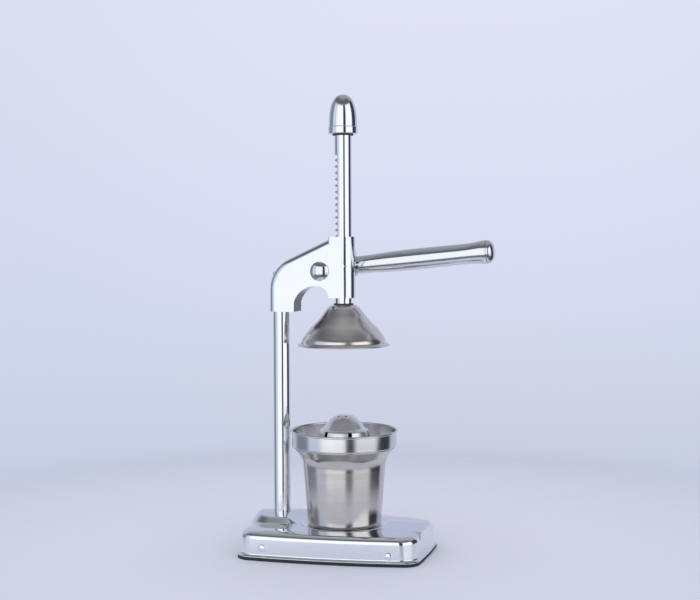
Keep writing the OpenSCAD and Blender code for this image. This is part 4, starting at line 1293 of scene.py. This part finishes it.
@dataclass
class PressRod:
    """The toothed rod, the bell on its lower end and the cap on its upper end."""

    top_height: float = 215.4
    wall: float = 1.1
    bell_line: Line = (
        (40.1, 180.8), (38.5, 181.3), (37.3, 182.5), (36.3, 185.4), (33.6, 189.6), (29.3, 195.0),
        (24.2, 200.0), (19.7, 205.0), (16.3, 209.6), (13.2, 213.2), (10.6, 214.9), (8.4, 215.4),
    )
    bell_lip: Line = ((40.3, 180.65),)
    bell_hole: float = 4.05
    cap_height: float = 363.6
    cap_length: float = 34.0
    cap_power: float = 0.72
    collar_radius: float = 12.9
    collar_height: float = 6.4
    collar_edge: float = 0.8
    ledge: float = 0.55
    straight: float = 2.4
    bore_radius: float = 7.45
    bore_depth: float = 23.0
    rod_radius: float = 7.4
    rod_foot: float = 1.0
    rod_chamfer: float = 0.3
    rod_in_cap: float = 22.0
    stud_radius: float = 4.0
    stud_length: float = 9.0
    gear_module: float = 1.75
    pressure_angle: float = 20.0
    backlash: float = 0.06
    dedendum: float = 1.25
    rack_flat: float = 7.125
    pinion_height: float = 244.6
    spaces_below: int = 2
    spaces_above: int = 18
    step: float = 0.01

    def bell(self) -> Array:
        """The bell turned from a flowing line and the same line one wall inside it.

        Returns:
            Rings that close on themselves.
        """
        line = flowing(self.bell_line, 110)
        inside = beside(line, self.wall)[::-1]
        hole = [[self.bell_hole, self.top_height], [self.bell_hole, self.top_height - self.wall]]
        return lathe(np.concatenate([self.bell_lip, line, hole, inside]), 180)

    def cap(self) -> Array:
        """The rod's cap: a rounded collar and a bullet r = n cos(a)^p, h = h0 + l sin(a).

        Returns:
            Rings from the foot of the bore, round the outside and back inside the bore.
        """
        foot, edge, collar = self.cap_height, self.collar_edge, self.collar_radius
        neck, shoulder = collar - self.ledge, foot + self.collar_height
        a = np.linspace(0, np.pi / 2, 48)
        length = self.cap_length - self.collar_height - self.straight
        bullet = [neck * np.cos(a) ** self.cap_power, shoulder + self.straight + length * np.sin(a)]
        return lathe(np.concatenate([
            [[self.bore_radius, foot], [collar - edge, foot]],
            arc([collar - edge, foot + edge], edge, 270, 360, 5)[1:],
            arc([collar - edge, shoulder - edge], edge, 0, 70, 5),
            [[neck, shoulder + 0.3 * self.ledge]],
            np.column_stack(bullet),
            [[0.0, foot + self.bore_depth], [self.bore_radius, foot + self.bore_depth]],
        ]), 144)

    def rod(self) -> Array:
        """The toothed rod: x = max(R cos a, -f(h)), y = R sin a, f(h) being the rack's outline.

        Returns:
            Rings from the stud's foot to the rod's top.
        """
        module, flat, lean = self.gear_module, self.rack_flat, math.tan(math.radians(self.pressure_angle))
        pitch = math.pi * module
        gap = pitch / 4 + self.backlash
        mouth, root = gap + module * lean, gap - self.dedendum * module * lean
        deep = flat - (1 + self.dedendum) * module
        spaces = np.arange(-self.spaces_below, self.spaces_above + 1)[:, None] * pitch + self.pinion_height
        teeth = (spaces + [-mouth, -root, root, mouth]).reshape(-1)
        low, high, step = teeth[0] - self.step, teeth[-1] + self.step, self.step
        bottom, top = self.top_height + self.rod_foot, self.cap_height + self.rod_in_cap
        radius, stud, chamfer = self.rod_radius, self.stud_radius, self.rod_chamfer
        below, above = [bottom, bottom + chamfer, low - step, low], [high, high + step, top]
        heights = np.concatenate([below, teeth, above])
        depths = np.tile([flat, deep, deep, flat], len(spaces))
        depths = np.concatenate([[radius - chamfer, radius, radius, flat], depths, [flat, radius, radius]])
        reach = np.full((len(heights), 1), radius)
        reach[0] -= chamfer
        a = np.linspace(0, 2 * np.pi, 144, endpoint=False)
        x = np.maximum(reach * np.cos(a), -depths[:, None])
        body = np.stack([x, reach * np.sin(a), heights[:, None] + 0 * a], -1)
        stud_foot = self.top_height - self.stud_length
        foot = lathe(np.array([[0.0, stud_foot], [stud, stud_foot], [stud, bottom]]), 144)
        return np.concatenate([foot, body, lathe(np.array([[0.0, top]]), 144)])

    def make(self) -> None:
        """Builds the rod, the bell and the cap."""
        rod = Piece("toothed_rod").add_grid(self.rod())
        rod.build("rod", Look.PLATED_ROD, "rod_chrome", ["rack_rod"], crease=35)
        bell = Piece("press_bell").add_grid(self.bell(), close_rows=True)
        bell.build("rod", Look.SPUN_DOME, "dome_steel", ["press_dome"], crease=60)
        cap = Piece("rod_cap_turned").add_grid(self.cap(), close_rows=True)
        cap.build("rod", Look.PLATED_ROD, "rod_chrome", ["rod_cap"], crease=40)


@dataclass
class Lever:
    """The hub behind the head, the long handle and its domed end.

    Profiles are rows of distance from the pivot and radius.
    """

    pivot: Vector = (-18.5, 20.0, 244.6)
    rise: float = 5.5
    root: float = 25.6
    seam: float = 142.2
    end: float = 148.9
    lift: float = 2.3
    lift_from: float = 8.0
    lift_run: float = 15.0
    extra_rise: float = 0.3
    handle_line: Line = (
        (25.6, 7.8), (34.0, 7.9), (41.0, 8.05), (48.0, 8.4), (56.0, 8.8), (66.0, 9.05), (84.0, 9.2),
        (100.0, 9.1), (113.0, 8.95), (122.0, 8.9), (128.0, 9.1), (134.0, 9.65), (139.0, 10.15), (142.2, 10.2),
    )
    bore_line: Line = ((142.2, 6.0), (60.0, 5.6), (58.0, 5.05), (25.6, 5.05))
    end_radius: float = 10.0
    end_band: float = 0.6
    end_gap: float = 0.05
    end_edge: float = 0.35
    end_power: float = 0.85
    plug_length: float = 4.0
    plug_radius: float = 5.5
    hub_radius: float = 12.4
    hub_drop: float = 7.1
    hub_turn: tuple[float, float] = (100.0, 300.0)
    hub_knee: tuple[float, float] = (12.0, -8.3)
    hub_bevel: Line = ((1.0, 11.3), (0.3, 11.6), (0.0, 12.3), (0.0, 19.3), (0.3, 20.0), (1.0, 20.3))
    shoulder_rise: float = 20.5
    shoulder_corner: float = 3.0
    arm_start: float = 10.2
    arm_radius: float = 7.9
    arm_edge: float = 5.0

    def placed(self, s: Array, side: Array, up: Array) -> Array:
        """Carries places from the lever's own axes to the frame's.

        Args:
            s: Distances from the pivot along the lever.
            side: Distances towards the rear.
            up: Heights square to the lever.

        Returns:
            pivot + (s cos rise - up sin rise, side, s sin rise + up cos rise).
        """
        c, d = math.cos(math.radians(self.rise)), math.sin(math.radians(self.rise))
        return np.stack([s * c - up * d, side, s * d + up * c], -1) + np.array(self.pivot)

    def along(self, profile: Array, segments: int = 72) -> Array:
        """Rings around the handle's middle line, which climbs a little past its root.

        Args:
            profile: Rows of distance from the pivot and radius.
            segments: Points around.

        Returns:
            The rings, with the middle line raised by lift(s).
        """
        s, r = profile[:, :1], profile[:, 1:]
        a = np.linspace(0, 2 * np.pi, segments, endpoint=False)
        climb = self.lift + np.maximum(s - self.root, 0) * math.tan(math.radians(self.extra_rise))
        up = climb * ease((s - self.lift_from) / self.lift_run) + r * np.sin(a)
        return self.placed(s + 0 * a, r * np.cos(a), up)

    def handle(self) -> Array:
        """The handle's rings: root, swell, waist and flared end, then its bore.

        Returns:
            Rings that close on themselves.
        """
        return self.along(np.concatenate([flowing(self.handle_line, 120), self.bore_line]))

    def end_cap(self) -> Array:
        """The domed plug: a short band and r = R cos(a)^p, s = s0 + l sin(a).

        Returns:
            Rings from the middle of its inner face to the tip.
        """
        radius, start, plug = self.end_radius, self.seam + self.end_gap, self.plug_radius
        dome_start = start + self.end_band
        a = np.linspace(0, np.pi / 2, 32)
        dome = [dome_start + (self.end - dome_start) * np.sin(a), radius * np.cos(a) ** self.end_power]
        inner = [
            [start - self.plug_length, 0.0], [start - self.plug_length, plug], [start, plug + 0.3],
            [start, radius - self.end_edge], [start + self.end_edge, radius],
        ]
        return self.along(np.concatenate([inner, np.column_stack(dome)]))

    def hub(self) -> Piece:
        """The hub: a flat boss with a stop shoulder above, and the arm beside it.

        Returns:
            The piece that holds them.
        """
        r = self.shoulder_corner
        outline = np.concatenate([
            arc([0.0, 0.0], self.hub_radius, *self.hub_turn, 60),
            [self.hub_knee, [self.root, -self.hub_drop]],
            arc([self.root - r, self.shoulder_rise - r], r, 0, 100, 12),
        ])
        tangent = np.roll(outline, -1, 0) - np.roll(outline, 1, 0)
        inward = tangent[:, ::-1] * [-1, 1] / np.linalg.norm(tangent, axis=1, keepdims=True)
        rings = []
        for inset, y in self.hub_bevel:
            s, up = (outline + inset * inward).T
            rings.append(self.placed(s, np.full(len(s), y - self.pivot[1]), up))
        start, radius, e = self.arm_start, self.arm_radius, self.arm_edge
        edge = arc([start + e, radius - e], e, 180, 90, 8)
        arm = [[[start, 0.0]], edge, [[self.root, radius], [self.root, 0.0]]]
        piece = Piece("lever_boss").add_grid(np.stack(rings), cap_ends=True)
        return piece.add_grid(self.along(np.concatenate(arm)))

    def make(self) -> None:
        """Builds the hub, the handle and its end."""
        self.hub().build("lever", Look.PLATED_LEVER, "lever_chrome", ["lever_hub"], crease=40)
        handle = Piece("handle").add_grid(self.handle(), close_rows=True)
        handle.build("lever", Look.PLATED_LEVER, "lever_chrome", ["lever_handle"], crease=50)
        end = Piece("handle_end").add_grid(self.end_cap())
        end.build("lever", Look.PLATED_LEVER, "lever_chrome", ["lever_end_cap"], crease=50)


# ---------------------------------------------------------------- studio


@dataclass(frozen=True)
class Panel:
    """A soft panel of light or dark in the studio, by its edges in degrees."""

    left: float
    right: float
    low: float
    high: float
    light: Colour
    feather: float

    def mask(self, sheet: NodeSheet, azimuth: Wire, elevation: Wire) -> Wire:
        """Where the panel is seen, as the product of smooth steps at its four edges.

        Args:
            sheet: The world's sheet.
            azimuth: The ray's azimuth, in degrees.
            elevation: Its elevation.

        Returns:
            1 on the panel and 0 past its feathered edges.
        """
        return (
            sheet.smooth(azimuth, self.left - self.feather, self.left)
            * sheet.smooth(azimuth, self.right + self.feather, self.right)
            * sheet.smooth(elevation, self.low - self.feather, self.low)
            * sheet.smooth(elevation, self.high + self.feather, self.high)
        )


@dataclass
class Studio:
    """Floor, world and camera around the press.

    Azimuth is measured from -Y towards +X and elevation from the horizon, both in degrees. The
    sweep is the backdrop's colour by elevation: floor, the dim place where it curves, and wall.
    """

    camera_place: Vector = (0.32115, -1.08476, 0.27929)
    camera_azimuth: float = 16.1983
    camera_pitch: float = -1.7093
    camera_roll: float = 0.2417
    focal_pixels: float = 1300.02
    frame_width: float = 700.0
    frame_rise: float = 30.0
    floor_radii: tuple[float, ...] = (0.0, 200.0, 600.0)
    front_edges: tuple[float, float] = (125.0, 95.0)
    middle_rise: tuple[float, float] = (-12.0, 2.0)
    high_rise: tuple[float, float] = (3.0, 14.0)
    floor_fall: tuple[float, float] = (-2.0, -22.0)
    ceiling_rise: tuple[float, float] = (33.0, 43.0)
    ceiling_glow: tuple[float, float] = (48.0, 84.0)
    aside_run: tuple[float, float] = (0.08, 0.40)
    room_low: Colour = linear(199, 203, 222)
    room_middle: Colour = linear(206, 207, 229)
    room_high: Colour = linear(186, 193, 214)
    front_floor: Colour = (0.17, 0.18, 0.21)
    ceiling_low: Colour = (0.13, 0.135, 0.15)
    ceiling_high: Colour = (0.36, 0.38, 0.40)
    ceiling_back: Colour = (0.37, 0.39, 0.42)
    diffuse_light: Colour = (1.0, 1.0, 1.0)
    backdrop_centre: Vector = (-0.19, 0.976, 0.10)
    backdrop_aside: Colour = linear(203, 211, 231)
    aside_share: float = 0.42
    sweep_ends: tuple[float, float] = (-16.0, 10.0)
    sweep: tuple[tuple[float, tuple[int, int, int]], ...] = (
        (-15.4, (213, 217, 234)), (-13.6, (210, 214, 231)), (-11.7, (206, 209, 227)),
        (-10.8, (202, 206, 225)), (-10.0, (199, 203, 222)), (-8.3, (204, 208, 227)),
        (-6.5, (209, 213, 232)), (-4.8, (212, 217, 236)), (-3.0, (215, 219, 240)),
        (-0.4, (218, 221, 242)), (2.2, (220, 223, 243)), (9.5, (225, 228, 247)),
    )
    panels: tuple[Panel, ...] = (
        Panel(-106.0, -66.0, -60.0, 36.0, (0.24, 0.27, 0.33), feather=12.0),
        Panel(-66.0, 18.0, -18.0, 33.0, (0.66, 0.74, 0.90), feather=9.0),
        Panel(-30.0, 17.0, -18.0, 31.0, (1.12, 1.14, 1.18), feather=14.0),
        Panel(22.0, 35.0, -60.0, 36.0, (0.04, 0.043, 0.055), feather=5.0),
        Panel(43.0, 90.0, -24.0, -8.0, (0.82, 0.84, 0.90), feather=4.0),
        Panel(43.0, 90.0, -6.0, 36.0, (1.15, 1.17, 1.20), feather=4.0),
        Panel(101.0, 134.0, -60.0, 42.0, (0.045, 0.048, 0.06), feather=6.0),
    )

    def camera(self) -> None:
        """Places the camera where the photograph was taken from, with its lens in sensor terms."""
        data = bpy.data.cameras.new("studio_camera")
        data.sensor_width = 36.0
        data.lens = self.focal_pixels / self.frame_width * data.sensor_width
        data.shift_y = -self.frame_rise / self.frame_width
        made = bpy.data.objects.new("studio_camera", data)
        made.location = self.camera_place
        turns = (90 + self.camera_pitch, self.camera_roll, self.camera_azimuth)
        made.rotation_euler = [math.radians(turn) for turn in turns]
        bpy.context.scene.collection.objects.link(made)
        bpy.context.scene.camera = made

    def floor(self) -> None:
        """A disc of pale paper under the pad."""
        rings = lathe(np.array([[radius, 0.0] for radius in self.floor_radii]), 96)
        mesh = bpy.data.meshes.new("studio_floor")
        faces = grid_faces(len(self.floor_radii), 96).tolist()
        mesh.from_pydata((rings.reshape(-1, 3) * MM).tolist(), [], faces)
        mesh.materials.append(Look.STUDIO_PAPER.value.material())
        made = bpy.data.objects.new("studio_floor", mesh)
        bpy.context.scene.collection.objects.link(made)

    def room(self, sheet: NodeSheet, unit: Wire) -> Wire:
        """What the plating mirrors: a pale room, the panels laid over it in order, and a ceiling.

        Args:
            sheet: The world's sheet.
            unit: The ray's direction, of length one.

        Returns:
            The light from that direction.
        """
        x, y, z = (sheet.node("ShaderNodeSeparateXYZ", None, {0: unit}, output=axis) for axis in "XYZ")
        degrees = 180 / math.pi
        azimuth = sheet.node("ShaderNodeMath", {"operation": "ARCTAN2"}, {0: x, 1: -1.0 * y}) * degrees
        elevation = sheet.node("ShaderNodeMath", {"operation": "ARCSINE"}, {0: z}) * degrees
        turned = sheet.node("ShaderNodeMath", {"operation": "ABSOLUTE"}, {0: azimuth})
        front = sheet.smooth(turned, *self.front_edges)
        room = sheet.mix(sheet.smooth(elevation, *self.middle_rise), self.room_low, self.room_middle)
        room = sheet.mix(sheet.smooth(elevation, *self.high_rise), room, self.room_high)
        below = front * sheet.smooth(elevation, *self.floor_fall)
        room = sheet.mix(below, room, self.front_floor)
        for panel in self.panels:
            room = sheet.mix(panel.mask(sheet, azimuth, elevation), room, panel.light)
        glow = sheet.smooth(elevation, *self.ceiling_glow)
        ceiling = sheet.mix(glow, self.ceiling_low, self.ceiling_high)
        ceiling = sheet.mix(front, self.ceiling_back, ceiling)
        return sheet.mix(sheet.smooth(elevation, *self.ceiling_rise), room, ceiling)

    def backdrop(self, sheet: NodeSheet, unit: Wire) -> Wire:
        """The plain pale sweep behind the press, a little darker to its sides.

        Args:
            sheet: The world's sheet.
            unit: The ray's direction, of length one.

        Returns:
            The colour in that direction.
        """
        low, high = self.sweep_ends
        z = sheet.node("ShaderNodeSeparateXYZ", None, {0: unit}, output="Z")
        elevation = sheet.node("ShaderNodeMath", {"operation": "ARCSINE"}, {0: z}) * (180 / math.pi)
        rising = (elevation - low) * (1 / (high - low))
        stops = [((place - low) / (high - low), linear(*colour)) for place, colour in self.sweep]
        backdrop = sheet.node("ShaderNodeValToRGB", {"stops": stops}, {0: rising})
        aside = sheet.measure("DISTANCE", unit, self.backdrop_centre)
        share = self.aside_share * sheet.smooth(aside, *self.aside_run)
        return sheet.mix(share, backdrop, self.backdrop_aside)

    def world(self) -> None:
        """The backdrop for the camera, one even light for dull faces and the room for the rest."""
        world = bpy.data.worlds.new("studio_world")
        bpy.context.scene.world = world
        world.use_nodes = True
        sheet = NodeSheet(world.node_tree)
        ray = sheet.node("ShaderNodeTexCoord", output="Generated")
        unit = sheet.node("ShaderNodeVectorMath", {"operation": "NORMALIZE"}, {0: ray})
        camera = sheet.node("ShaderNodeLightPath", output="Is Camera Ray")
        diffuse = sheet.node("ShaderNodeLightPath", output="Is Diffuse Ray")
        lit = sheet.mix(diffuse, self.room(sheet, unit), self.diffuse_light)
        seen = sheet.mix(camera, lit, self.backdrop(sheet, unit))
        background = sheet.node("ShaderNodeBackground", None, {"Color": seen})
        sheet.node("ShaderNodeOutputWorld", None, {"Surface": background})

    def make(self) -> None:
        """Sets up the whole studio."""
        bpy.context.scene.view_settings.view_transform = "Standard"
        self.camera()
        self.floor()
        self.world()


FINISHES = {
    "pad_rubber": Look.PAD_RUBBER,
    "base_chrome": Look.PLATED_BASE,
    "inner_steel": Look.INNER_STEEL,
    "fastener_steel": Look.FASTENER_STEEL,
    "column_chrome": Look.PLATED_COLUMN,
    "cast_chrome": Look.PLATED_CASTING,
    "gear_steel": Look.GEAR_STEEL,
    "lever_chrome": Look.PLATED_LEVER,
    "washer_brass": Look.WASHER_BRASS,
    "rod_chrome": Look.PLATED_ROD,
    "bumper_rubber": Look.BUMPER_RUBBER,
    "dome_steel": Look.SPUN_DOME,
    "cup_steel": Look.SPUN_CUP,
    "strainer_steel": Look.SPUN_STRAINER,
}


def dress_solids(frame: dict[str, object]) -> None:
    """Gives each CAD node that still shows the finish of its slot; its mesh stays as it is.
    """
    slots = {part["node"]: part["material_slot"] for part in frame["record"]["subparts"]}
    for name, node in frame["nodes"].items():
        if not node.hide_render:
            finish = FINISHES[slots[name]].value
            for entry in node.material_slots:
                entry.material = finish.material()
            LOG.info("%s keeps its CAD mesh, finish %s", name, finish.name)


def main() -> None:
    """Builds the studio and the press around the frame."""
    logging.basicConfig(level=logging.INFO, format="%(name)s: %(message)s")
    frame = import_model()
    for assembly in (Studio, PressedBase, Cupware, PressRod, Lever):
        assembly().make()
    dress_solids(frame)


if __name__ == "__main__":
    main()
